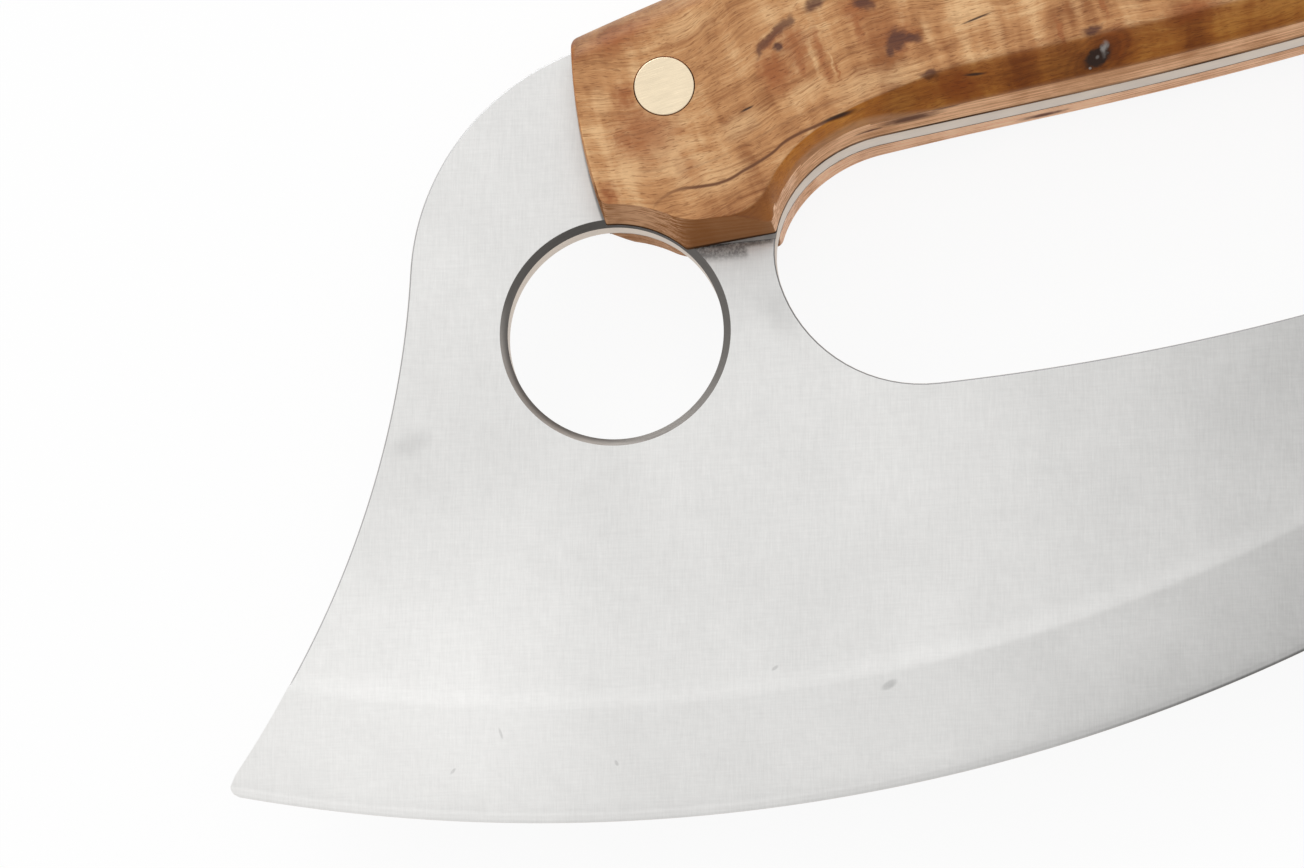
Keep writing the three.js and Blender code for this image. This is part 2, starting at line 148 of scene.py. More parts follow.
class UluColours(bpy.types.PropertyGroup):
    """Colours of the knife's finishes."""

    steel: tint("Steel", 0.775, 0.769, 0.755, "Satin steel")
    cut_steel: tint("Cut steel", 0.62, 0.535, 0.455, "Warm steel of the plate's walls")
    # rim, flank_rim and chamfer: slanted steel painted darker, as painted dark reflection.
    rim: tint("Rim", 0.22, 0.22, 0.225, "Grey steel of the hand hole's rim")
    flank_rim: tint("Flank rim", 0.33, 0.33, 0.335, "Grey steel of the outer rim")
    film_top: tint("Film top", 0.33, 0.315, 0.30, "Grey smear of glue that shows beside a scale")
    chamfer: tint("Chamfer", 0.155, 0.146, 0.137, "Dark steel of the finger hole's chamfer")
    birch_pale: tint("Pale birch", 0.71, 0.445, 0.225, "Pale bands of the curly figure")
    birch: tint("Birch", 0.50, 0.248, 0.102, "Body colour of the birch")
    birch_dark: tint("Dark birch", 0.27, 0.10, 0.032, "Late wood and dark bands")
    stain: tint("Stain", 0.32, 0.108, 0.035, "Reddish stain in the birch")
    fleck: tint("Fleck", 0.10, 0.038, 0.024, "Purple-brown flecks")
    knot: tint("Knot", 0.035, 0.017, 0.011, "Knots, cracks and dark flecks")
    glint: tint("Glint", 0.36, 0.33, 0.31, "Grey gleam in the knot")
    bevel: tint("Bevel", 0.68, 0.45, 0.16, "Share of light that the birch's lower bevel keeps")
    neck: tint("Neck", 0.25, 0.10, 0.034, "Olive brown of the neck's wall")
    neck_keep: tint("Neck share", 0.66, 0.48, 0.30, "Share of light that the neck's rounding keeps")
    back_keep: tint("Back share", 0.70, 0.73, 0.79, "Share of light that the rounded back keeps")
    grain_line: tint("Grain line", 0.13, 0.048, 0.02, "Dark line in the grain")
    neck_bevel: tint("Neck bevel", 0.98, 0.68, 0.22, "Share of light that the bevel keeps at the neck")
    # wall: sanded birch, paler partly because it is sanded and partly as painted light on walls that face
    # away from the lamp.
    wall: tint("Sanded wall", 0.90, 0.56, 0.34, "Sanded walls of the scales")
    sanded: tint("Sanded bevel", 0.47, 0.26, 0.14, "Lower part of the bevel, sanded like the walls")
    wall_dark: tint("Dark wall", 0.50, 0.25, 0.125, "Grain lines on the sanded walls")
    end_wall: tint("End wall", 0.50, 0.46, 0.42, "Share of light that the scales' ends keep")
    back_wall: tint("Back wall", 0.50, 0.46, 0.43, "Share of light that the walls along the back keep")
    wall_mark: tint("Wall mark", 0.17, 0.09, 0.062, "Purple-brown streaks on the sanded walls")
    brass: tint("Brass", 0.86, 0.725, 0.525, "Brushed brass")
    glue: tint("Glue", 0.03, 0.017, 0.011, "Dark glue line")
    clear_glue: tint("Clear glue", 0.36, 0.22, 0.13, "Glue line on the right side, which soaked in less")
    fibre_keep: tint("Fibre share", 0.45, 0.33, 0.24, "Share of light that pores and grain lines keep")
    floor: tint("Floor", 0.88, 0.88, 0.88, "Pale floor")


# Plan geometry

def way(angle):
    return Vector((cos(angle), sin(angle)))


def towards(centre, place, radius):
    """The point of a circle in the direction of a place."""
    return centre + (place - centre).normalized() * radius


def crossing(centre_a, radius_a, centre_b, radius_b, pick=min):
    """The point where two circles meet, the one with the smaller X or, with max, the larger."""
    meets = intersect_sphere_sphere_2d(centre_a, radius_a, centre_b, radius_b)
    if meets[0] is None:
        raise RuntimeError("two arcs of the outline do not meet")
    return pick(meets, key=lambda place: place.x).copy()


def highest(places, key):
    return max(places, key=lambda place: place.y)


def line_crossing(place, slope, centre, radius, pick=min):
    """The point where the line through a place, with a slope, meets a circle."""
    meets = intersect_line_sphere_2d(place, place + Vector((1, slope)), centre, radius, False)
    if meets[0] is None:
        raise RuntimeError("a line of the outline misses its arc")
    return pick(meets, key=lambda found: found.x).copy()


def inner_centre(centre, radius, small_radius, x, side):
    """Centre of a small circle that touches a large one from inside, at a given X."""
    return Vector((x, centre.y + side * sqrt((radius - small_radius) ** 2 - (x - centre.x) ** 2)))


def smooth_step(value, low, high):
    share = min(1, max(0, (value - low) / (high - low)))
    return share * share * (3 - 2 * share)


def mixed(first, second, share):
    return first + (second - first) * share


class Plan:
    """Places that several pieces share, from the sizes."""

    def __init__(self, sizes):
        self.sizes = sizes
        self.edge_centre = Vector((sizes.edge_lowest, sizes.edge_radius - sizes.edge_drop))
        self.top_centre = Vector((sizes.middle, sizes.top - sizes.top_radius))
        self.hole_front = sizes.middle - sizes.hand_length / 2
        self.scale_front = sizes.middle - sizes.scale_length / 2
        self.scale_rear = sizes.middle + sizes.scale_length / 2
        self.half_plate = sizes.plate / 2
        self.scale_base = self.half_plate + sizes.bond
        self.side = self.scale_base + sizes.scale_thickness
        self.floor_centre = Vector((sizes.middle, sizes.hand_floor - sizes.hand_drop))
        corner_x = self.hole_front + sizes.hand_lower
        self.hole_corner = inner_centre(self.floor_centre, sizes.hand_floor, sizes.hand_lower, corner_x, -1)
        self.pins = {
            "front_pin": Vector((self.scale_front + sizes.pin_distance, sizes.end_pin_height)),
            "middle_pin": Vector((sizes.middle, sizes.middle_pin_height)),
            "rear_pin": Vector((self.scale_rear - sizes.pin_distance, sizes.end_pin_height)),
        }
        low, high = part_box("front_pin")
        middle = (low + high) / 2
        self.origin = middle - self.pins["front_pin"].to_3d()

    def roof(self, angle=None, along=None, inset=0.0, lift=0.0):
        """A point of the hand hole's roof, drawn in by a bevel: on its end, or along its stretch."""
        sizes = self.sizes
        centre_x = self.hole_front + sizes.hand_upper
        rise = sizes.hand_roof - self.hole_corner.y
        if along is None:
            place = Vector((centre_x + (sizes.hand_upper + inset) * cos(angle),
                            self.hole_corner.y + (rise + inset) * sin(angle)))
        else:
            place = Vector((mixed(centre_x, sizes.middle, along), sizes.hand_roof + inset))
        sag = sizes.hand_sag * smooth_step(place.x, self.hole_front, sizes.middle)
        start, end = self.hole_front + sizes.grip_start, self.hole_front + sizes.grip_run
        place.y += lift * smooth_step(place.x, start, end) - sag
        return place


class Pen:
    """Draws an outline in plan from a first vertex. A flipped pen draws it mirrored at the middle."""

    def __init__(self, bm, first, middle=None):
        self.bm = bm
        self.last = first
        self.height = first.co.z
        self.middle = middle

    def at(self, place):
        x = place.x if self.middle is None else 2 * self.middle - place.x
        return Vector((x, place.y, self.height))

    def line(self, end):
        made = bmesh.ops.extrude_vert_indiv(self.bm, verts=[self.last])
        self.last = made["verts"][0]
        self.last.co = self.at(end)
        return self.last

    def arc(self, centre, end, steps):
        hub = self.at(centre)
        start_way = self.last.co - hub
        end_way = self.at(end) - hub
        turn = atan2(end_way.y, end_way.x) - atan2(start_way.y, start_way.x)
        turn = (turn + pi) % tau - pi
        made = bmesh.ops.spin(
            self.bm, geom=[self.last], cent=hub, axis=(0, 0, 1), angle=turn, steps=steps)
        self.last = made["geom_last"][0]

    def round(self, corner, end, steps):
        """Rounds a corner on a curve whose handles lie on the two sides."""
        start = self.last.co
        tip, stop = self.at(corner), self.at(end)
        curve = interpolate_bezier(start, start.lerp(tip, 0.6), stop.lerp(tip, 0.6), stop, steps + 1)
        for place in curve[1:]:
            made = bmesh.ops.extrude_vert_indiv(self.bm, verts=[self.last])
            self.last = made["verts"][0]
            self.last.co = place


# Mesh helpers

LEVEL_LIMIT = 0.001 * MM


def parts_of(geometry, kind):
    return [part for part in geometry if isinstance(part, kind)]


def raised(bm, edges):
    """Extrudes a loop of edges and gives the new loop's vertices and edges."""
    made = bmesh.ops.extrude_edge_only(bm, edges=edges)["geom"]
    verts = parts_of(made, bmesh.types.BMVert)
    new = set(verts)
    return verts, [edge for edge in parts_of(made, bmesh.types.BMEdge) if new.issuperset(edge.verts)]


def ring(bm, centre, radius, height, steps):
    """A circle of edges."""
    made = bmesh.ops.create_circle(
        bm, segments=steps, radius=radius, matrix=Matrix.Translation((centre.x, centre.y, height)))
    return list({edge for vert in made["verts"] for edge in vert.link_edges})


def is_level(face):
    """True for a face that lies level, even for a sliver whose normal is not exact."""
    heights = [vert.co.z for vert in face.verts]
    return max(heights) - min(heights) < LEVEL_LIMIT


def shaded(bm, limit=radians(32)):
    """Smooth faces with crisp edges, and flat faces where they lie level."""
    for face in bm.faces:
        face.smooth = not is_level(face)
    for edge in bm.edges:
        edge.smooth = edge.calc_face_angle(0) < limit


def finished(name, bm, plan, materials, node):
    """Moves a piece to its place and makes it an object that stands for a CAD node."""
    bmesh.ops.translate(bm, verts=bm.verts, vec=plan.origin)
    mesh = bpy.data.meshes.new(name)
    bm.to_mesh(mesh)
    bm.free()
    for material in materials:
        mesh.materials.append(material)
    piece = bpy.data.objects.new(name, mesh)
    bpy.context.scene.collection.objects.link(piece)
    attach(piece, "root")
    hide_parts(node)
    return piece


# Shader helpers

class Paint:
    """Builds the nodes of one material on plan coordinates in millimetres."""

    def __init__(self, name, origin):
        self.material = bpy.data.materials.new(name)
        self.material.use_nodes = True
        self.tree = self.material.node_tree
        self.shader = self.tree.nodes["Principled BSDF"]
        place = self.node("ShaderNodeTexCoord").outputs["Object"]
        self.plan = self.mapped(place, move=-origin / MM, scale=(1 / MM, 1 / MM, 1 / MM))

    def node(self, kind, **settings):
        made = self.tree.nodes.new(kind)
        for key, value in settings.items():
            setattr(made, key, value)
        return made

    def feed(self, socket, value):
        if isinstance(value, bpy.types.NodeSocket):
            self.tree.links.new(value, socket)
        elif hasattr(value, "__len__") and socket.type == "RGBA" and len(value) == 3:
            socket.default_value = (*value, 1)
        else:
            socket.default_value = value

    def set(self, **values):
        """Feeds the shader's own sockets, named with underscores."""
        for key, value in values.items():
            self.feed(self.shader.inputs[key.replace("_", " ")], value)

    def mapped(self, place, move=(0, 0, 0), turn=0.0, scale=(1, 1, 1)):
        made = self.node("ShaderNodeMapping")
        self.feed(made.inputs["Vector"], place)
        made.inputs["Location"].default_value = move
        made.inputs["Rotation"].default_value = (0, 0, turn)
        made.inputs["Scale"].default_value = scale
        return made.outputs["Vector"]

    def math(self, operation, first, second=0.0, third=0.0):
        made = self.node("ShaderNodeMath", operation=operation)
        for socket, value in zip(made.inputs, (first, second, third)):
            self.feed(socket, value)
        return made.outputs["Value"]

    def times(self, first, second):
        return self.math("MULTIPLY", first, second)

    def weighed(self, value, weight, base):
        """A value times its weight, added to a base."""
        return self.math("MULTIPLY_ADD", value, weight, base)

    def centred(self, pattern):
        """A pattern about 0 instead of about a half."""
        return self.math("SUBTRACT", pattern, 0.5)

    def vector(self, operation, first, second=(0, 0, 0)):
        made = self.node("ShaderNodeVectorMath", operation=operation)
        self.feed(made.inputs[0], first)
        self.feed(made.inputs[1], second)
        return made.outputs["Value" if operation in ("LENGTH", "DOT_PRODUCT") else "Vector"]

    def dimmed(self, colour, share):
        """A colour times a number."""
        made = self.node("ShaderNodeVectorMath", operation="SCALE")
        self.feed(made.inputs[0], colour)
        self.feed(made.inputs["Scale"], share)
        return made.outputs["Vector"]

    def facing(self):
        """The three parts of the surface's normal."""
        return self.split(self.node("ShaderNodeNewGeometry").outputs["Normal"])

    def split(self, vector):
        made = self.node("ShaderNodeSeparateXYZ")
        self.feed(made.inputs["Vector"], vector)
        return made.outputs

    def level(self, value, low, high, start=0.0, end=1.0):
        """Runs smoothly from one value to another as the input goes from low to high."""
        made = self.node("ShaderNodeMapRange", interpolation_type="SMOOTHSTEP")
        for key, number in (("Value", value), ("From Min", low), ("From Max", high),
                            ("To Min", start), ("To Max", end)):
            self.feed(made.inputs[key], number)
        return made.outputs["Result"]

    def mix(self, share, first, second, blend="MIX"):
        made = self.node("ShaderNodeMix", data_type="RGBA", blend_type=blend, clamp_result=True)
        self.feed(made.inputs[0], share)
        self.feed(made.inputs[6], first)
        self.feed(made.inputs[7], second)
        return made.outputs[2]

    def noise(self, place, scale, detail=3.0, roughness=0.5, distortion=0.0, output="Fac"):
        made = self.node("ShaderNodeTexNoise")
        for key, value in (("Vector", place), ("Scale", scale), ("Detail", detail),
                           ("Roughness", roughness), ("Distortion", distortion)):
            self.feed(made.inputs[key], value)
        return made.outputs[output]

    def stretched(self, scale, turn=0.0, place=None, **settings):
        """Noise on plan coordinates that are turned and scaled along their axes."""
        turned = self.mapped(place or self.plan, turn=turn)
        return self.noise(self.mapped(turned, scale=scale), 1.0, **settings)

    def spot(self, centre, radii, turn=0.0, soft=0.5, place=None):
        """A soft ellipse of 1 on a ground of 0, at a place of the plan."""
        moved = self.vector("SUBTRACT", place or self.plan, centre)
        turned = self.mapped(moved, turn=-turn)
        scaled = self.mapped(turned, scale=tuple(1 / value for value in radii))
        return self.level(self.vector("LENGTH", scaled), 1 - soft, 1, 1, 0)

    def ripples(self, centre, radii, turn, start, end):
        """Rings round an ellipse, from one multiple of its radii to another, that fade outwards."""
        moved = self.vector("SUBTRACT", self.plan, centre)
        scaled = self.mapped(self.mapped(moved, turn=-turn), scale=tuple(1 / value for value in radii))
        away = self.vector("LENGTH", scaled)
        wave = self.weighed(self.math("SINE", self.times(away, 11)), 0.5, 0.5)
        return self.times(wave, self.level(away, start, end, 0.5, 0))

    def curve(self, value, knots):
        """The height, at a place along the plan, of a smooth curve through a few points."""
        low_x, high_x = knots[0][0], knots[-1][0]
        low_y = min(y for _, y in knots)
        high_y = max(y for _, y in knots)
        made = self.node("ShaderNodeFloatCurve")
        points = made.mapping.curves[0].points
        ready = [((x - low_x) / (high_x - low_x), (y - low_y) / (high_y - low_y)) for x, y in knots]
        points[0].location = ready[0]
        points[1].location = ready[-1]
        for x, y in ready[1:-1]:
            points.new(x, y)
        made.mapping.update()
        self.feed(made.inputs["Value"], self.level_line(value, low_x, high_x))
        return self.weighed(made.outputs["Value"], high_y - low_y, low_y)

    def streak(self, knots, width, place=None):
        """A thin line through a few places of the plan, which fades at both ends."""
        axes = self.split(place or self.plan)
        low_x, high_x = knots[0][0], knots[-1][0]
        away = self.math("ABSOLUTE", self.math("SUBTRACT", axes["Y"], self.curve(axes["X"], knots)))
        near = self.level(away, 0.25 * width, width, 1, 0)
        fade = 0.06 * (high_x - low_x)
        head = self.level(axes["X"], low_x - fade, low_x + fade)
        tail = self.level(axes["X"], high_x - fade, high_x + fade, 1, 0)
        return self.times(near, self.times(head, tail))

    def level_line(self, value, low, high):
        made = self.node("ShaderNodeMapRange")
        for key, number in (("Value", value), ("From Min", low), ("From Max", high)):
            self.feed(made.inputs[key], number)
        return made.outputs["Result"]

    def bump(self, height, strength, distance):
        made = self.node("ShaderNodeBump")
        made.inputs["Strength"].default_value = strength
        made.inputs["Distance"].default_value = distance
        self.feed(made.inputs["Height"], height)
        self.feed(self.shader.inputs["Normal"], made.outputs["Normal"])


def most(paint, masks):
    """The largest of several masks."""
    found = masks[0]
    for mask in masks[1:]:
        found = paint.math("MAXIMUM", found, mask)
    return found


# Materials

BRUSH_TURN = radians(-14.3)
DARKEST_STEEL = 0.06


def satin_steel(plan, colours):
    paint = Paint("satin_steel", plan.origin)
    brush = paint.stretched((6.5, 0.45, 1), turn=-BRUSH_TURN, detail=4, roughness=0.65)
    cross = paint.stretched((0.45, 5, 1), turn=radians(12), detail=3, roughness=0.6)
    strokes = paint.stretched((2.4, 0.08, 1), turn=radians(-38), detail=2, roughness=0.5)
    cloud = paint.noise(paint.plan, 0.055, detail=3, roughness=0.55)
    blotch = paint.noise(paint.plan, 0.16, detail=4, roughness=0.6)
    edge_x, edge_y = plan.edge_centre / MM
    from_edge = paint.vector("SUBTRACT", paint.plan, (edge_x, edge_y, 0))
    flat = paint.vector("MULTIPLY", from_edge, (1, 1, 0))
    depth = paint.math("SUBTRACT", plan.sizes.edge_radius / MM, paint.vector("LENGTH", flat))
    axes = paint.split(paint.plan)
    ground = paint.level(depth, 10.7, 11.4, 1, 0)
    glow = paint.times(paint.level(depth, 10.8, 11.4), paint.level(depth, 11.5, 14, 1, 0))
    edge_dark = paint.times(paint.level(depth, 0.5, 9, 1, 0), paint.level(axes["X"], 20, 42))
    edge_dark = paint.times(edge_dark, paint.level(axes["X"], 44, 60, 1, 0.4))
    grit = paint.level(paint.noise(paint.plan, 3.5, detail=5, roughness=0.65), 0.36, 0.6, 0.55, 1)
    # Painted shade and dark reflection under the left scale's neck, with gritty residue in it.
    shadow_and_residue = paint.times(grit, most(paint, [
        paint.streak(((9.6, 6.0), (12.2, 5.6), (14.8, 5.2)), 1.45),
        paint.streak(((13.2, 5.8), (15.4, 5.65), (17.6, 5.5)), 0.75),
    ]))
    # Painted contact shadow: a thin dark line on the steel where the scale's wall meets it.
    junction_shadow = paint.streak(((9.5, 6.35), (13.6, 6.1), (17.9, 5.8)), 0.25)
    junction_shadow = paint.times(junction_shadow, paint.level(axes["X"], 9.5, 15.5, 0.1, 1))
    end_x = (plan.scale_front + plan.sizes.end_radius) / MM
    from_end = paint.vector("SUBTRACT", paint.plan, (end_x, plan.sizes.end_apex / MM, 0))
    reach = paint.vector("LENGTH", paint.vector("MULTIPLY", from_end, (1, 1, 0)))
    off_end = paint.math("ABSOLUTE", paint.math("SUBTRACT", reach, plan.sizes.end_radius / MM + 0.05))
    at_end = paint.times(paint.level(axes["X"], 8, 12, 1, 0), paint.level(axes["Y"], 7, 10))
    seam = paint.times(paint.level(off_end, 0.08, 0.32, 1, 0), at_end)
    seam = paint.times(seam, paint.level(cloud, 0.3, 0.6, 0.5, 1))
    # Painted reflection: the steel is darker towards the right and lighter towards the lower left. The neck
    # spot is painted shade below the scales' neck.
    shade = paint.level(axes["X"], 22, 74)
    painted_sheen = paint.spot((-29, -31, 1.6), (34, 26, 60), soft=0.95)
    neck = paint.spot((15, 2.5, 1.6), (7, 8, 60), soft=0.9)
    smudge = most(paint, [
        paint.spot((16.6, -2.2, 1.6), (2.6, 4.2, 60), turn=radians(25), soft=0.9),
        paint.spot((16.4, -1.7, 1.6), (2.2, 1.1, 60), turn=radians(50), soft=0.9),
        paint.spot((-22.6, -6.2, 1.6), (3.2, 1.8, 60), turn=radians(10), soft=0.9),
    ])
    specks = most(paint, [
        paint.spot(place, radii, turn=turn, soft=0.6) for place, radii, turn in (
            ((7.6, -37.15, 1.6), (0.5, 0.22, 60), 0.4),
            ((-20.4, -36.84, 1.6), (0.18, 0.75, 60), 0.1),
            ((-25.9, -39.29, 1.6), (0.5, 0.2, 60), 0.6),
            ((-9.9, -42.47, 1.6), (0.22, 0.4, 60), 0.2),
            ((18.2, -41.5, 1.6), (1.1, 0.5, 60), 0.3),
        )])
    fine = paint.times(paint.level(depth, 0.6, 1.2, 1, 0), paint.level(axes["X"], -5, 30, 1, 0))
    keen = paint.times(paint.level(depth, 0.1, 0.35, 1, 0), paint.level(axes["X"], 30, 50, 0.2, 1))
    # Painted shadow: the steel is a little darker within 2.4 mm of the scales' front ends.
    beside = paint.times(paint.level(off_end, 0, 2.4, 1, 0), at_end)
    tone = 1.0
    for pattern, weight in ((brush, 0.20), (cross, 0.12), (strokes, 0.04), (cloud, 0.16), (blotch, 0.09)):
        tone = paint.weighed(paint.centred(pattern), weight, tone)
    tone = paint.weighed(ground, paint.level(axes["X"], 2, 36, 0.035, -0.045), tone)
    for mask, weight in ((edge_dark, -0.1), (fine, 0.12), (keen, -0.45), (shadow_and_residue, -0.62), (junction_shadow, -0.6)):
        tone = paint.weighed(mask, weight, tone)
    tone = paint.math("MAXIMUM", tone, DARKEST_STEEL)
    for mask, weight in ((seam, -0.6), (beside, -0.06), (glow, 0.055), (shade, -0.26), (painted_sheen, 0.15),
                         (neck, -0.05), (smudge, -0.11), (specks, -0.22)):
        tone = paint.weighed(mask, weight, tone)
    colour = paint.dimmed(tuple(colours.steel), tone)
    rough = paint.weighed(brush, 0.08, 0.26)
    rough = paint.weighed(cloud, 0.05, rough)
    rough = paint.weighed(ground, 0.03, rough)
    paint.set(Base_Color=colour, Metallic=1.0, Roughness=rough)
    paint.bump(paint.math("ADD", brush, paint.times(cross, 0.5)), 0.05, 0.0002)
    return paint.material


def cut_steel(plan, colours):
    """Steel of the plate's walls. Slanted parts are darker, as painted dark reflection: the finger hole's
    chamfer and the rims. The chamfer's lower outer part is painted lighter, as painted light.
    """
    paint = Paint("cut_steel", plan.origin)
    lines = paint.stretched((0.5, 0.5, 9), detail=3, roughness=0.6)
    cloud = paint.noise(paint.plan, 0.3, detail=3)
    finger = paint.spot((0, 0, 0), (13, 13, 60), soft=0.05)
    facing = paint.facing()
    slanted = paint.level(paint.math("ABSOLUTE", facing["Z"]), 0.25, 0.6)
    # Painted light: the outer part of the chamfer's lower side is brightened.
    flat = paint.vector("MULTIPLY", paint.plan, (1, 1, 0))
    lower = paint.vector("DOT_PRODUCT", paint.vector("NORMALIZE", flat), (-0.85, -0.53, 0))
    outer = paint.level(paint.vector("LENGTH", flat), 10.95, 11.6)
    lower_band = paint.times(outer, paint.level(lower, 0.4, 0.9))
    chamfer = paint.dimmed(tuple(colours.chamfer), paint.weighed(lower_band, 1.6, 1))
    behind_flank = paint.level(paint.split(paint.plan)["X"], 8, 12)
    rim = paint.mix(behind_flank, tuple(colours.flank_rim), tuple(colours.rim))
    colour = paint.mix(slanted, tuple(colours.cut_steel), rim)
    colour = paint.mix(paint.times(finger, slanted), colour, chamfer)
    tone = paint.weighed(lines, 0.4, 0.68)
    tone = paint.weighed(cloud, 0.25, tone)
    colour = paint.dimmed(colour, tone)
    paint.set(Base_Color=colour, Metallic=1.0, Roughness=paint.weighed(lines, 0.2, 0.34))
    paint.bump(lines, 0.08, 0.0002)
    return paint.material


LEFT_MARKS = {
    "flow": ((1.5, 1.6), (5.0, 0.75), (8.0, 0.15), (11.0, 0.0), (14.0, 0.25), (17.0, 1.0), (20.0, 2.0),
             (24.0, 3.2), (28.0, 4.0), (33.0, 4.4), (40.0, 4.5)),
    "tints": (
        ((10.9, 12.6, 9.1), (2.4, 3.2, 30), 0.1),
        ((7.6, 15.6, 9.1), (5.6, 4.6, 30), 0.0),
        ((24.0, 20.6, 9.1), (4.2, 4.4, 30), 0.1),
        ((33.5, 21.5, 9.1), (4.0, 3.6, 30), 0.1),
        ((46.5, 15.6, 9.1), (3.6, 1.4, 30), 0.15),
    ),
    "stains": (
        ((8.0, 17.8, 9.1), (5.0, 4.2, 9), 0.0),
        ((2.9, 12.0, 9.1), (1.6, 1.5, 9), 0.0),
        ((6.7, 21.4, 9.1), (2.0, 2.2, 9), 0.0),
        ((5.8, 17.2, 9.1), (1.7, 2.0, 9), 0.0),
        ((7.8, 27.6, 9.1), (5.0, 2.4, 6), 0.2),
        ((22.4, 23.6, 9.1), (3.0, 1.3, 6), 0.55),
        ((21.7, 20.0, 9.1), (2.4, 3.4, 6), 0.1),
        ((24.4, 22.6, 9.1), (2.6, 2.6, 6), 0.1),
        ((31.2, 24.5, 9.1), (2.4, 2.2, 6), 0.0),
        ((34.9, 20.3, 9.1), (2.4, 2.0, 6), 0.0),
        ((55.4, 14.8, 8.0), (3.2, 2.2, 6), 0.3),
        ((39.4, 14.4, 8.0), (4.2, 2.4, 6), 0.0),
        ((64.0, 15.8, 8.4), (6.0, 1.6, 6), 0.1),
    ),
    "pale": (
        ((27.6, 19.5, 9.1), (0.2, 1.9, 4), 0.1),
        ((25.9, 20.6, 9.1), (0.4, 3.4, 4), 0.06),
        ((4.2, 21.4, 9.1), (1.5, 2.2, 6), 0.0),
        ((5.7, 14.2, 9.1), (2.5, 1.5, 6), 0.2),
        ((14.2, 27.0, 9.1), (4.2, 1.8, 6), 0.2),
        ((17.2, 15.5, 9.1), (4.0, 1.8, 6), 0.35),
        ((24.4, 17.4, 9.1), (3.6, 1.5, 6), 0.3),
        ((29.9, 16.5, 9.1), (4.8, 2.3, 6), 0.15),
        ((14.0, 11.0, 9.1), (4.6, 2.4, 6), 0.15),
        ((33.8, 16.6, 9.1), (3.6, 1.9, 6), 0.1),
        ((37.6, 20.4, 9.1), (0.7, 2.2, 6), 0.05),
        ((41.0, 18.4, 9.1), (1.0, 2.8, 6), 0.05),
        ((44.3, 18.8, 9.1), (1.0, 3.4, 6), 0.05),
        ((48.3, 18.2, 9.1), (0.9, 3.8, 6), 0.08),
        ((52.6, 19.6, 9.1), (0.9, 2.6, 6), 0.05),
        ((58.0, 18.6, 9.1), (1.8, 3.0, 6), 0.05),
        ((33.2, 14.2, 7.6), (2.6, 1.8, 6), 0.1),
        ((49.4, 13.9, 7.6), (3.4, 2.2, 6), 0.1),
    ),
    "dashes": (
        ((26.75, 21.2, 9.1), (0.62, 3.7, 4), 0.06),
        ((27.0, 18.6, 9.1), (0.75, 1.4, 4), 0.06),
        ((28.0, 18.6, 9.1), (0.2, 1.3, 4), 0.1),
        ((22.25, 21.2, 9.1), (0.6, 1.5, 4), 0.0),
        ((24.6, 20.2, 9.1), (0.6, 2.2, 4), 0.02),
        ((31.0, 22.4, 9.1), (0.6, 2.4, 4), 0.02),
        ((50.4, 16.8, 9.1), (0.4, 2.6, 4), 0.05),
        ((55.2, 18.8, 9.1), (0.5, 2.6, 4), 0.05),
    ),
    "flecks": (
        ((22.83, 22.5, 9.1), (0.75, 0.75, 4), 0.0),
        ((34.0, 20.25, 9.1), (2.0, 0.95, 4), 1.117),
        ((33.55, 19.3, 9.1), (0.9, 0.7, 4), 0.9),
        ((34.5, 19.9, 9.1), (1.3, 1.0, 4), 0.4),
        ((34.85, 20.45, 9.1), (1.3, 1.1, 4), 0.0),
        ((35.7, 20.12, 9.1), (1.8, 0.75, 4), -0.3),
        ((27.5, 26.1, 9.1), (2.0, 1.0, 4), 0.5),
        ((32.1, 24.75, 9.1), (1.7, 0.9, 4), -0.5),
        ((36.83, 15.95, 8.8), (1.5, 0.6, 4), -0.1),
        ((53.5, 16.3, 9.1), (1.5, 0.7, 4), 0.1),
    ),
    "cracks": (
        ((42.7, 20.4, 9.1), (2.2, 0.16, 4), 0.145),
        ((41.1, 15.08, 8.2), (1.5, 0.18, 4), -0.13),
        ((18.3, 17.1, 9.1), (1.0, 0.17, 4), 0.22),
        ((26.8, 14.1, 9.1), (2.4, 0.26, 4), 0.15),
    ),
    "streaks": (
        (((6.8, 9.4), (8.2, 10.4), (9.8, 10.75), (11.6, 10.55), (13.9, 10.4), (16.6, 11.05), (19.4, 11.95),
          (21.7, 13.05), (26.0, 13.9), (28.6, 14.3)), 0.25, 0.95),
        (((9.5, 12.4), (14.0, 12.9), (19.0, 14.1), (24.0, 15.3), (28.0, 15.7)), 0.2, 0.22),
    ),
    "smears": (
        (((20.5, 22.2), (21.4, 23.15), (22.9, 24.1), (24.2, 24.7), (24.9, 25.0)), 0.9, 0.75),
    ),
    "knot": ((53.4, 13.9, 7.8), (1.95, 0.9, 4), 0.36),
}
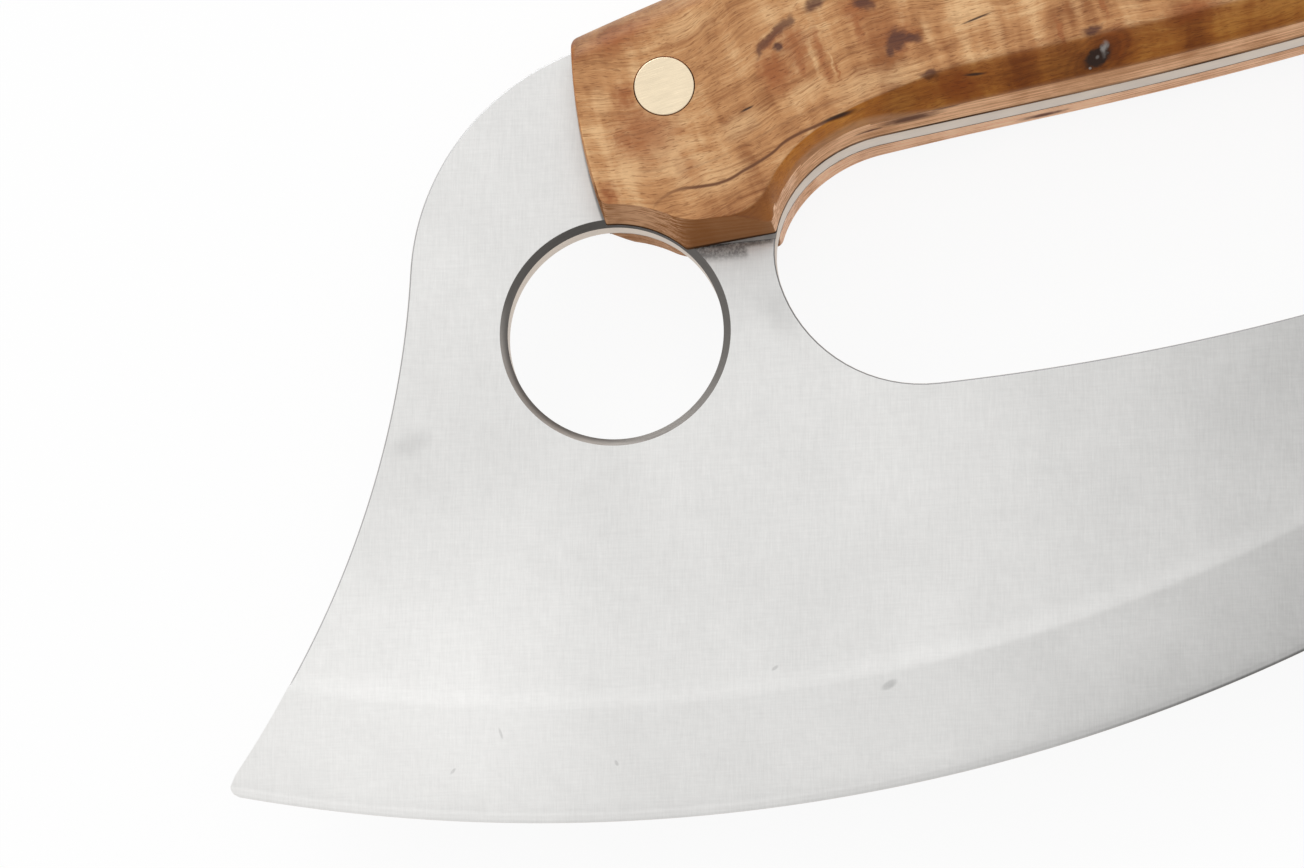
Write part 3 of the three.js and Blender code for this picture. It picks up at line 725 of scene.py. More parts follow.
RIGHT_MARKS = {
    "flow": ((8.0, 0.4), (30.0, 1.6), (50.0, 0.0), (75.0, 1.8), (100.0, 0.6), (118.0, 2.0)),
    "tints": (
        ((28.0, 20.0, -9.1), (6.0, 5.0, 30), 0.2),
        ((88.0, 23.0, -9.1), (7.0, 4.0, 30), -0.2),
    ),
    "stains": (
        ((20.0, 22.0, -9.1), (8.0, 5.0, 6), 0.3),
        ((74.0, 20.0, -9.1), (9.0, 5.0, 6), -0.2),
        ((105.0, 16.0, -9.1), (6.0, 6.0, 6), 0.4),
    ),
    "pale": (
        ((48.0, 23.0, -9.1), (2.0, 6.0, 6), 0.1),
        ((60.0, 24.0, -9.1), (1.6, 6.0, 6), -0.1),
        ((90.0, 22.0, -9.1), (2.4, 6.0, 6), 0.1),
    ),
    "dashes": (
        ((36.0, 23.0, -9.1), (0.4, 3.0, 4), 0.03),
        ((98.0, 24.0, -9.1), (0.4, 3.0, 4), 0.03),
    ),
    "flecks": (
        ((33.0, 21.0, -9.1), (1.6, 1.0, 4), 0.7),
        ((81.0, 26.0, -9.1), (2.2, 0.6, 4), 0.4),
        ((47.2, 12.8, -4.5), (2.4, 3.0, 0.8), 0.0),
    ),
    "cracks": (
        ((66.0, 19.0, -9.1), (2.4, 0.14, 4), 0.1),
    ),
    "streaks": (
        (((84.0, 20.0), (90.0, 20.8), (97.0, 19.6), (104.0, 20.6), (112.0, 22.0)), 0.26, 0.6),
    ),
    "smears": (
        (((40.0, 24.0), (42.0, 24.8), (44.5, 25.0), (46.0, 24.8)), 0.7, 0.8),
    ),
    "knot": ((94.0, 17.5, -9.1), (1.6, 1.2, 4), 0.3),
}


def birch_grain(paint, shift, flow):
    """Fine fibre, pores and curly figure of the birch, on coordinates that follow the grain's flow."""
    here = paint.vector("ADD", paint.plan, shift)
    rise = paint.node("ShaderNodeCombineXYZ")
    paint.feed(rise.inputs["Y"], paint.curve(paint.split(paint.plan)["X"], flow))
    level = paint.vector("SUBTRACT", here, rise.outputs["Vector"])
    drift = paint.vector("SUBTRACT", paint.noise(here, 0.06, detail=2, output="Color"), (0.5, 0.5, 0.5))
    ripple = paint.vector("SUBTRACT", paint.noise(here, 0.3, detail=2, output="Color"), (0.5, 0.5, 0.5))
    warped = paint.vector("ADD", level, paint.vector("MULTIPLY", drift, (2, 4, 3)))
    warped = paint.vector("ADD", warped, paint.vector("MULTIPLY", ripple, (0, 0.7, 0.5)))
    across = paint.vector("ADD", here, paint.vector("MULTIPLY", drift, (5, 0, 0)))
    fringe = paint.vector("SUBTRACT", paint.noise(here, 1.1, detail=3, output="Color"), (0.5, 0.5, 0.5))
    return {
        "fibre": paint.stretched((0.2, 5.0, 3.5), place=warped, detail=3, roughness=0.65),
        "lines": paint.stretched((0.1, 2.6, 2.0), place=warped, detail=3, roughness=0.6),
        "strands": paint.stretched((0.06, 0.8, 0.7), place=warped, detail=3, roughness=0.55),
        "zones": paint.noise(here, 0.085, detail=2),
        "curl": paint.stretched(
            (0.31, 0.05, 0.1), turn=radians(-5), place=across, detail=2, roughness=0.55),
        "fine_curl": paint.stretched((0.95, 0.13, 0.3), turn=radians(-5), place=across, detail=2),
        "pores": paint.stretched((1.0, 8.5, 7.0), place=warped, detail=2, roughness=0.5),
        "mottle": paint.stretched((1.6, 4.0, 4.0), place=warped, detail=3, roughness=0.6),
        "ragged": paint.vector("ADD", paint.plan, paint.vector("MULTIPLY", fringe, (2.4, 2.0, 0))),
        "frayed": paint.vector("ADD", paint.plan, paint.vector("MULTIPLY", fringe, (1.1, 0.9, 0))),
    }


def curly_birch(name, plan, colours, marks, shift):
    paint = Paint(name, plan.origin)
    grain = birch_grain(paint, shift, marks["flow"])
    along = paint.split(paint.plan)["X"]
    figure = paint.times(paint.centred(grain["curl"]), paint.level(along, 26, 44, 0.35, 0.8))
    figure = paint.math("ADD", figure, paint.level(along, 4, 17, 0.44, 0.5))
    for key, weight in (("strands", 0.4), ("zones", 0.9), ("fine_curl", 0.25), ("fibre", 0.35)):
        figure = paint.weighed(paint.centred(grain[key]), weight, figure)
    colour = paint.mix(paint.level(figure, 0.2, 0.5), tuple(colours.birch_dark), tuple(colours.birch))
    colour = paint.mix(paint.level(figure, 0.44, 0.7), colour, tuple(colours.birch_pale))

    def spots(key, soft, place):
        return most(paint, [paint.spot(c, r, turn=t, soft=soft, place=place) for c, r, t in marks[key]])

    tint_share = paint.times(spots("tints", 0.95, grain["ragged"]), 0.42)
    colour = paint.mix(tint_share, colour, tuple(colours.stain))
    stain_share = paint.level(figure, 0.3, 0.75, 1.0, 0.78)
    stain_share = paint.times(spots("stains", 0.9, grain["ragged"]), stain_share)
    colour = paint.mix(stain_share, colour, tuple(colours.stain))
    pale_share = paint.level(grain["fibre"], 0.3, 0.6, 0.3, 0.66)
    pale_share = paint.times(spots("pale", 0.9, grain["frayed"]), pale_share)
    pale_share = paint.times(pale_share, paint.level(along, 34, 46, 1, 0.55))
    colour = paint.mix(pale_share, colour, tuple(colours.birch_pale))
    dash_share = paint.times(spots("dashes", 0.8, grain["frayed"]), 0.75)
    colour = paint.mix(dash_share, colour, tuple(colours.stain))
    line_share = paint.times(paint.level(grain["lines"], 0.54, 0.66), 0.36)
    pore_share = paint.times(paint.level(grain["pores"], 0.57, 0.66), 0.6)
    dark_grain = paint.math("MAXIMUM", line_share, pore_share)
    colour = paint.mix(dark_grain, colour, tuple(colours.fibre_keep), blend="MULTIPLY")
    colour = paint.dimmed(colour, paint.weighed(grain["mottle"], 0.34, 0.83))

    cracks = most(paint, [paint.spot(c, r, turn=t, soft=0.7) for c, r, t in marks["cracks"]])
    centre, radii, turn = marks["knot"]
    hollow = paint.spot(centre, radii, turn=turn, soft=0.4, place=grain["frayed"])
    wide = tuple(1.8 * value for value in radii)
    swirl = most(paint, [
        paint.times(paint.spot(centre, wide, turn=turn, soft=0.7), 0.7),
        paint.ripples(centre, radii, turn, 1.25, 2.9),
    ])
    glint_at = (centre[0] + 0.85, centre[1] + 0.55, centre[2])
    spark_at = (centre[0] - 0.95, centre[1] - 0.75, centre[2])
    glint = most(paint, [
        paint.spot(glint_at, (0.85, 0.55, 4), turn=turn + 0.7, soft=0.8, place=grain["frayed"]),
        paint.times(paint.spot(centre, (0.3, 0.2, 4), turn=turn, soft=0.7), 0.5),
        paint.times(paint.spot(spark_at, (0.2, 0.14, 4)), 0.9),
    ])
    brown = paint.level(grain["fibre"], 0.3, 0.65, 1.0, 0.8)
    brown = paint.times(spots("flecks", 0.7, grain["frayed"]), brown)
    for knots, width, weight in marks["smears"]:
        smear = paint.streak(knots, width, place=grain["frayed"])
        brown = paint.math("MAXIMUM", brown, paint.times(smear, weight))
    fade = paint.level(along, 7, 12, 0.3, 1)
    for knots, width, weight in marks["streaks"]:
        line = paint.times(paint.streak(knots, width), paint.times(fade, weight))
        colour = paint.mix(line, colour, tuple(colours.grain_line))
    brown = paint.math("MAXIMUM", brown, paint.times(swirl, 0.7))
    colour = paint.mix(brown, colour, tuple(colours.fleck))
    dark = paint.math("MAXIMUM", hollow, paint.times(cracks, 0.9))

    facing = paint.facing()
    upright = paint.math("ABSOLUTE", facing["Z"])
    slanted = paint.times(paint.level(upright, 0.05, 0.3), paint.level(upright, 0.84, 0.985, 1, 0))
    bevel_share = paint.times(slanted, paint.level(facing["Y"], -0.7, -0.15, 1, 0))
    front = paint.level(facing["X"], -0.6, -0.15, 1, 0)
    front = paint.times(front, paint.level(upright, 0.9, 0.99, 0.8, 0))
    colour = paint.mix(front, colour, tuple(colours.neck_bevel), blend="MULTIPLY")
    keep = paint.mix(paint.level(along, 26, 34), tuple(colours.neck_bevel), tuple(colours.bevel))
    keep = paint.mix(paint.level(along, 16.5, 20.5), tuple(colours.neck_keep), keep)
    plain = paint.times(bevel_share, paint.level(along, 20, 40, 0.4, 0.1))
    colour = paint.mix(plain, colour, tuple(colours.birch))
    colour = paint.mix(bevel_share, colour, keep, blend="MULTIPLY")
    height = paint.math("ABSOLUTE", paint.split(paint.plan)["Z"])
    shoulder = (plan.scale_base + plan.sizes.wall_height) / MM
    reach = paint.level(along, 28, 37, 1.1, 0)
    low = paint.level(paint.math("SUBTRACT", height, reach), shoulder - 0.35, shoulder + 0.35, 1, 0)
    low = paint.times(paint.times(low, bevel_share), paint.level(along, 19, 23, 0, 0.55))
    lower_band = paint.dimmed(tuple(colours.sanded), paint.weighed(grain["lines"], 1.6, 0.2))
    colour = paint.mix(low, colour, lower_band)
    colour = paint.mix(dark, colour, tuple(colours.knot))
    colour = paint.mix(paint.times(glint, 0.8), colour, tuple(colours.glint))
    on_back = paint.level(facing["Y"], 0.1, 0.75)
    colour = paint.mix(on_back, colour, tuple(colours.back_keep), blend="MULTIPLY")
    rough = paint.weighed(grain["fibre"], 0.16, 0.36)
    paint.set(Base_Color=colour, Roughness=rough, Specular_IOR_Level=0.2)
    sunk = paint.math("MAXIMUM", dark, paint.times(brown, 0.4))
    relief = paint.weighed(grain["fibre"], 0.25, paint.times(sunk, -0.8))
    relief = paint.weighed(pore_share, -0.5, relief)
    paint.bump(relief, 0.2, 0.0004)
    return paint.material


# Painted light that brightens the wall at the neck's throat, where it lies in shade.
THROAT_PAINTED_LIGHT = (1.1, 1.2, 1.35)


def birch_wall(name, plan, colours, flow, marks, shift, wall_light_gain):
    """The sanded walls of a scale: matt, with grain lines along the handle. Their colour is made brighter
    by painted light.
    """
    paint = Paint(name, plan.origin)
    grain = birch_grain(paint, shift, flow)
    lines = paint.stretched((0.06, 1.2, 4.2), detail=4, roughness=0.6)
    figure = 0.5
    for key, weight in (("fibre", 0.4), ("zones", 0.5), ("curl", 0.35)):
        figure = paint.weighed(paint.centred(grain[key]), weight, figure)
    figure = paint.weighed(paint.centred(lines), 1.1, figure)
    colour = paint.mix(paint.level(figure, 0.25, 0.68), tuple(colours.wall_dark), tuple(colours.wall))
    flecks = most(paint, [paint.spot(c, r, turn=t, soft=0.8, place=grain["ragged"]) for c, r, t in marks])
    colour = paint.mix(flecks, colour, tuple(colours.wall_mark))
    facing = paint.facing()
    neck = paint.spot((15.2, 6.2, 5), (8.4, 3.6, 30), soft=0.4)
    neck = paint.times(neck, paint.level(facing["X"], 0.3, 0.6, 0.9, 0))
    colour = paint.mix(neck, colour, tuple(colours.neck))
    scoop = paint.spot((0, 0, 5), (14.5, 14.5, 60), soft=0.1)
    scoop = paint.times(scoop, paint.level(figure, 0.3, 0.7, 0.92, 0.45))
    colour = paint.mix(scoop, colour, tuple(colours.neck))
    depth = paint.split(paint.plan)["Z"]
    soaked = paint.level(depth, plan.scale_base / MM + 0.35, plan.scale_base / MM + 0.65, 0.96, 0)
    soaked = paint.times(soaked, paint.level(grain["zones"], 0.35, 0.6, 0.6, 1))
    soaked = paint.times(soaked, paint.level(depth, 0, 0.5))
    colour = paint.mix(soaked, colour, tuple(colours.glue))
    on_back = paint.level(facing["Y"], 0.1, 0.6)
    colour = paint.mix(on_back, colour, tuple(colours.back_wall), blend="MULTIPLY")
    # Painted light: the wall at the neck's throat lies in shade, so it is brightened and left out of the
    # ends' painted shade.
    throat = paint.spot((19.2, 8.0, 5), (3.4, 4.2, 30), soft=0.5)
    ends = paint.level(paint.math("ABSOLUTE", facing["X"]), 0.8, 0.95)
    ends = paint.times(ends, paint.math("SUBTRACT", 1, throat))
    colour = paint.mix(ends, colour, tuple(colours.end_wall), blend="MULTIPLY")
    colour = paint.mix(throat, colour, THROAT_PAINTED_LIGHT, blend="MULTIPLY")
    # Painted light: each scale's wall colour is brightened by its own gain, more and bluer on the right
    # scale.
    colour = paint.vector("MULTIPLY", colour, wall_light_gain)
    paint.set(Base_Color=colour, Roughness=0.75, Specular_IOR_Level=0.0)
    paint.bump(lines, 0.15, 0.0004)
    return paint.material


LEFT_WALL_MARKS = (
    ((33.9, 12.5, 5.4), (4.2, 6.0, 1.5), 0.0),
    ((29.6, 12.4, 4.6), (2.2, 3.0, 0.5), 0.0),
    ((37.5, 12.6, 6.3), (2.4, 3.0, 0.5), 0.0),
)
RIGHT_WALL_MARKS = (
    ((47.2, 12.6, -4.4), (3.4, 6.0, 1.3), 0.0),
    ((86.0, 12.6, -5.2), (3.0, 3.0, 0.9), 0.0),
)


def brushed_brass(plan, colours):
    paint = Paint("brushed_brass", plan.origin)
    brush = paint.stretched((0.6, 11, 0.6), turn=radians(-3), detail=4, roughness=0.6)
    cloud = paint.noise(paint.plan, 0.5, detail=2)
    tone = paint.weighed(paint.centred(brush), 0.28, 0.98)
    tone = paint.weighed(paint.centred(cloud), 0.12, tone)
    colour = paint.dimmed(tuple(colours.brass), tone)
    paint.set(Base_Color=colour, Metallic=1.0, Roughness=paint.weighed(brush, 0.16, 0.3))
    paint.bump(brush, 0.12, 0.0002)
    return paint.material


def glue_film(name, plan, tint_of_glue, top_tint):
    """A thin film of glue: its edge has the colour of the glue line, and its flat side that of a smear."""
    paint = Paint(name, plan.origin)
    cloud = paint.noise(paint.plan, 0.4, detail=4, roughness=0.6)
    tone = paint.weighed(cloud, 1.1, 0.4)
    facing = paint.facing()
    flat = paint.level(paint.math("ABSOLUTE", facing["Z"]), 0.5, 0.9)
    colour = paint.dimmed(paint.mix(flat, tuple(tint_of_glue), tuple(top_tint)), tone)
    paint.set(Base_Color=colour, Roughness=paint.weighed(cloud, 0.3, 0.4))
    return paint.material


def pale_floor(colours):
    """A white floor that keeps a soft shadow: seen straight on, most of it is its own white."""
    material = bpy.data.materials.new("pale_floor")
    material.use_nodes = True
    tree = material.node_tree
    tree.nodes.clear()
    output = tree.nodes.new("ShaderNodeOutputMaterial")
    matt = tree.nodes.new("ShaderNodeBsdfDiffuse")
    matt.inputs["Color"].default_value = (*colours.floor, 1)
    white = tree.nodes.new("ShaderNodeEmission")
    rays = tree.nodes.new("ShaderNodeLightPath")
    seen = tree.nodes.new("ShaderNodeMath")
    seen.operation = "MAXIMUM"
    mirrored_seen = tree.nodes.new("ShaderNodeMath")
    mirrored_seen.operation = "MAXIMUM"
    share = tree.nodes.new("ShaderNodeMath")
    share.operation = "MULTIPLY"
    share.inputs[1].default_value = FLOOR_WHITE_SHARE
    blend = tree.nodes.new("ShaderNodeMixShader")
    links = tree.links
    links.new(rays.outputs["Is Glossy Ray"], mirrored_seen.inputs[0])
    links.new(rays.outputs["Is Transmission Ray"], mirrored_seen.inputs[1])
    links.new(rays.outputs["Is Camera Ray"], seen.inputs[0])
    links.new(mirrored_seen.outputs[0], seen.inputs[1])
    links.new(seen.outputs[0], share.inputs[0])
    links.new(share.outputs[0], blend.inputs[0])
    links.new(matt.outputs[0], blend.inputs[1])
    links.new(white.outputs[0], blend.inputs[2])
    links.new(blend.outputs[0], output.inputs["Surface"])
    return material


# Blade

GRIND_RINGS = 8
FINE_RINGS = 4
EDGE_STEPS = 150
WELD = 1e-7


def grind_height(plan, depth):
    """Half the plate's thickness at a depth inside the cutting edge."""
    sizes = plan.sizes
    fine = mixed(sizes.edge_land, sizes.fine_thickness, depth / sizes.fine_height) / 2
    if depth <= sizes.fine_height:
        return fine
    slope = (plan.half_plate - sizes.fine_thickness / 2) / (sizes.grind_height - sizes.fine_height)
    past = depth - (sizes.grind_height - sizes.grind_soft)
    eased = max(0, past) ** 2 / (4 * sizes.grind_soft) * slope
    return min(plan.half_plate, sizes.fine_thickness / 2 + (depth - sizes.fine_height) * slope - eased)


def hand_hole_half(pen, plan, steps=18):
    """Draws half of the hand hole, from the middle of its floor to the middle of its roof."""
    corner = plan.hole_corner
    join = towards(plan.floor_centre, corner, plan.sizes.hand_floor)
    pen.arc(plan.floor_centre, join, 3 * steps)
    pen.arc(corner, Vector((plan.hole_front, corner.y)), steps)
    for step in range(1, steps + 1):
        pen.line(plan.roof(angle=mixed(pi, pi / 2, step / steps)))
    for step in range(1, steps + 1):
        pen.line(plan.roof(along=step / steps))


def blade_rings(bm, plan, outline):
    """The grind as rings of edges, from the cheek's lower rim to the cutting edge, bridged."""
    sizes = plan.sizes
    top = sizes.grind_height + sizes.grind_soft
    soft = [sizes.grind_height + sizes.grind_soft * share for share in (1, 0.5, 0, -0.5, -1)]
    ground = [mixed(soft[-1], sizes.fine_height, step / GRIND_RINGS) for step in range(1, GRIND_RINGS + 1)]
    fine = [sizes.fine_height * (1 - step / FINE_RINGS) for step in range(1, FINE_RINGS + 1)]
    rings = []
    for depth in (*soft, *ground, *fine):
        radius = sizes.edge_radius - depth
        start, end = outline.ends(radius)
        height = plan.half_plate if depth == top else grind_height(plan, depth)
        pen = Pen(bm, bm.verts.new((start.x, start.y, height)))
        count = len(bm.edges)
        first = pen.last
        pen.arc(plan.edge_centre, end, EDGE_STEPS)
        bm.edges.ensure_lookup_table()
        rings.append((first, pen.last, [bm.edges[index] for index in range(count, len(bm.edges))]))
    return rings


class BladeOutline:
    """Centres and corners of the plate's outline."""

    def __init__(self, plan):
        sizes = plan.sizes
        self.plan = plan
        self.head = inner_centre(plan.top_centre, sizes.top_radius, sizes.head_radius, sizes.head_offset, 1)
        rear_x = plan.scale_rear + sizes.rear_margin - sizes.rear_corner
        self.rear = inner_centre(plan.top_centre, sizes.top_radius, sizes.rear_corner, rear_x, 1)
        nose = inner_centre(plan.edge_centre, sizes.edge_radius, 0, -sizes.nose_reach, -1)
        heel_x = sizes.middle + sizes.heel_reach
        self.heel = inner_centre(plan.edge_centre, sizes.edge_radius, 0, heel_x, -1)
        self.flank = crossing(self.head, sizes.head_radius + sizes.flank_radius, nose, sizes.flank_radius)
        self.tip = crossing(self.flank, sizes.flank_radius + sizes.nose_radius,
                            plan.edge_centre, sizes.edge_radius - sizes.nose_radius, pick=max)
        to_rear = self.rear - self.heel
        angle = atan2(to_rear.y, to_rear.x) - asin(sizes.rear_corner / to_rear.length)
        self.rear_way = way(angle)
        self.rear_start = self.rear + way(angle - pi / 2) * sizes.rear_corner
        self.tip_join = towards(self.flank, self.tip, sizes.flank_radius)

    def ends(self, radius):
        """Where a circle about the edge's centre leaves the front flank or the tip, and the rear flank."""
        sizes, centre = self.plan.sizes, self.plan.edge_centre
        if radius < (self.tip_join - centre).length:
            start = crossing(centre, radius, self.flank, sizes.flank_radius, pick=max)
        elif radius < sizes.edge_radius:
            start = crossing(centre, radius, self.tip, sizes.nose_radius)
        else:
            start = towards(centre, self.tip, radius)
        meets = intersect_line_sphere_2d(self.heel, self.heel + self.rear_way, centre, radius, False)
        return start, min((meet for meet in meets if meet is not None), key=lambda meet: meet.y).copy()


def blade_mesh(plan):
    """One upper skin with its holes, walls down to the middle plane, and its mirror image."""
    sizes = plan.sizes
    bm = bmesh.new()
    outline = BladeOutline(plan)
    rings = blade_rings(bm, plan, outline)
    first, last, grind_edges = rings[0]

    rim_start = len(bm.edges)
    pen = Pen(bm, last)
    pen.line(outline.rear_start)
    pen.arc(outline.rear, towards(plan.top_centre, outline.rear, sizes.top_radius), 24)
    pen.arc(plan.top_centre, towards(plan.top_centre, outline.head, sizes.top_radius), 90)
    pen.arc(outline.head, towards(outline.flank, outline.head, sizes.flank_radius), 60)
    pen.arc(outline.flank, first.co.xy, 60)
    bmesh.ops.pointmerge(bm, verts=[first, pen.last], merge_co=first.co)

    floor_middle = bm.verts.new((sizes.middle, -sizes.hand_drop, plan.half_plate))
    halves = [Pen(bm, floor_middle), Pen(bm, floor_middle, middle=sizes.middle)]
    for half in halves:
        hand_hole_half(half, plan)
    bmesh.ops.pointmerge(bm, verts=[half.last for half in halves], merge_co=halves[0].last.co)
    bm.edges.ensure_lookup_table()
    cheek = grind_edges + [bm.edges[index] for index in range(rim_start, len(bm.edges))]
    finger = Vector((0, 0))
    chamfer = ring(bm, finger, sizes.finger_radius + sizes.chamfer_width, plan.half_plate, 160)
    pin_holes = [ring(bm, place, sizes.pin_diameter / 2 + sizes.pin_clearance, plan.half_plate, 64)
                 for place in plan.pins.values()]
    bmesh.ops.triangle_fill(bm, edges=cheek + chamfer + [edge for hole in pin_holes for edge in hole],
                            use_beauty=True, normal=(0, 0, 1))
    for upper, lower in zip(rings, rings[1:]):
        bmesh.ops.bridge_loops(bm, edges=upper[2] + lower[2])

    throat_verts, throat = raised(bm, chamfer)
    narrow = sizes.finger_radius / (sizes.finger_radius + sizes.chamfer_width)
    bmesh.ops.scale(bm, verts=throat_verts, vec=(narrow, narrow, 1))
    bmesh.ops.translate(bm, verts=throat_verts, vec=(0, 0, -sizes.chamfer_depth))
    rims = [edge for edge in bm.edges if edge.is_boundary]
    wall_verts, _ = raised(bm, rims)
    bmesh.ops.scale(bm, verts=wall_verts, vec=(1, 1, 0))
    bmesh.ops.mirror(bm, geom=bm.verts[:] + bm.edges[:] + bm.faces[:], axis="Z", merge_dist=WELD)
    bmesh.ops.remove_doubles(bm, verts=bm.verts, dist=WELD)
    bmesh.ops.recalc_face_normals(bm, faces=bm.faces)
    broken = [edge for edge in bm.edges if is_square_rim(edge, plan)]
    bmesh.ops.bevel(bm, geom=broken, offset=sizes.edge_break, offset_type="OFFSET", affect="EDGES",
                    segments=2, profile=0.5, material=-1, clamp_overlap=True)
    shaded(bm)
    for face in bm.faces:
        face.material_index = 0 if is_level(face) or abs(face.normal.z) > 0.94 else 1
    return bm


def is_square_rim(edge, plan):
    """True for an edge of the cheeks' rims, where the cheek meets a wall that is square to it."""
    off_cheek = [abs(abs(vert.co.z) - plan.half_plate) > WELD for vert in edge.verts]
    if len(edge.link_faces) != 2 or any(off_cheek):
        return False
    return edge.calc_face_angle(0) > radians(60)


# Scales

# Each scale: name, side, marks, wall marks, grain shift, and the painted light gain of its walls.
SCALES = (
    ("left", 1, LEFT_MARKS, LEFT_WALL_MARKS, (0, 0, 0), (1.13, 1.11, 1.10)),
    ("right", -1, RIGHT_MARKS, RIGHT_WALL_MARKS, (31, 17, 5), (1.29, 1.36, 1.52)),
)


def scale_half(pen, plan, share, scooped, side):
    """Draws half of a scale's outline, from the middle of its back to the middle of its grip."""
    sizes = plan.sizes
    top_radius = sizes.top_radius - share * sizes.top_bevel
    end_radius = sizes.end_radius - share * sizes.end_bevel
    end_centre = Vector((plan.scale_front + sizes.end_radius, sizes.end_apex))
    corner = crossing(end_centre, end_radius - sizes.end_corner,
                      plan.top_centre, top_radius - sizes.end_corner)
    pen.arc(plan.top_centre, towards(plan.top_centre, corner, top_radius), 40)
    pen.arc(corner, towards(end_centre, corner, end_radius), 8)

    soft = mixed(sizes.sharp_round, sizes.small_round, share)
    neck_soft = mixed(sizes.sharp_round, sizes.neck_round, share)
    inset = share * sizes.hole_bevel
    lift = share * (sizes.grip_bevel - sizes.hole_bevel)
    neck_height = sizes.neck_height + share * sizes.neck_bevel + (0 if side > 0 else sizes.far_neck)
    slope = mixed(sizes.base_slope, sizes.neck_slope, share)
    rise = (neck_height - plan.hole_corner.y) / (sizes.hand_roof + inset - plan.hole_corner.y)
    neck_angle = pi - asin(rise)
    neck_end = plan.roof(angle=neck_angle, inset=inset, lift=lift)
    along_neck = Vector((1, -slope)).normalized()
    if scooped:
        near = Vector((-sizes.brow_back, -sizes.brow_drop))
        far = Vector((-sizes.far_brow_back, -sizes.far_brow_drop))
        scoop = (near if side > 0 else far) * share
        scoop_radius = mixed(sizes.finger_radius + sizes.scoop_setback, sizes.brow_radius, share)
        brow = crossing(end_centre, end_radius, scoop, scoop_radius, pick=highest)
        neck_start = line_crossing(neck_end, -slope, scoop, scoop_radius, pick=max)
        small = 0.5 * soft if side > 0 else mixed(0.5 * sizes.sharp_round, sizes.far_round, share)
        run = small if side > 0 else 2 * small
        pen.arc(end_centre, towards(end_centre, brow + Vector((0, small)), end_radius), 16)
        scoop_from = atan2(brow.y - scoop.y, brow.x - scoop.x) - run / scoop_radius
        scoop_to = atan2(neck_start.y - scoop.y, neck_start.x - scoop.x) + soft / scoop_radius
        pen.round(brow, scoop + way(scoop_from) * scoop_radius, 5)
        pen.arc(scoop, scoop + way(scoop_to) * scoop_radius, 18)
    else:
        neck_start = line_crossing(neck_end, -slope, end_centre, end_radius)
        pen.arc(end_centre, towards(end_centre, neck_start + Vector((0, soft)), end_radius), 16)
    pen.round(neck_start, neck_start + along_neck * soft, 6)
    pen.line(neck_end - along_neck * neck_soft)
    turn = neck_soft / (plan.sizes.hand_roof - plan.hole_corner.y)
    pen.round(neck_end, plan.roof(angle=neck_angle - turn, inset=inset, lift=lift), 10)
    steps = 22
    for step in range(1, steps + 1):
        angle = mixed(neck_angle - turn, pi / 2, step / steps)
        pen.line(plan.roof(angle=angle, inset=inset, lift=lift))
    for step in range(1, steps + 1):
        pen.line(plan.roof(along=step / steps, inset=inset, lift=lift))


def scale_outline(bm, plan, share, side):
    """A scale's closed outline, drawn in by a share of its bevels, as a list of vertices."""
    top = plan.sizes.top - share * plan.sizes.top_bevel
    first = bm.verts.new((plan.sizes.middle, top, 0))
    front = Pen(bm, first)
    scale_half(front, plan, share, True, side)
    rear = Pen(bm, first, middle=plan.sizes.middle)
    scale_half(rear, plan, share, False, side)
    bmesh.ops.pointmerge(bm, verts=[front.last, rear.last], merge_co=front.last.co)
    bm.verts.ensure_lookup_table()
    return list(bm.verts)


def bevel_profile(sizes):
    """Share of the bevel and height of each layer of a scale: wall, shoulder, bevel and brow."""
    wall, thick = sizes.wall_height, sizes.scale_thickness
    lean = 0.08
    shoulder_end = (0.3, mixed(wall, thick, 0.26))
    shoulder = interpolate_bezier((lean * 0.85, wall * 0.85), (lean, wall), (lean, wall), shoulder_end, 6)
    brow = interpolate_bezier((0.70, mixed(wall, thick, 0.70)), (1, thick), (1, thick), (1.18, thick), 8)
    bevel = Vector((0.53, mixed(wall, thick, 0.52)))
    profile = [Vector((0, 0)), Vector((lean * 0.4, wall * 0.4)), *shoulder, bevel, *brow]
    return [(place[0], place[1]) for place in profile]


def back_lean(sizes, height):
    """How far the rounded back of a scale leans in at a height: a quarter of an ellipse."""
    part = max(0, height - sizes.back_wall) / (sizes.scale_thickness - sizes.back_wall)
    return sizes.back_reach * (1 - sqrt(max(0, 1 - part * part)))


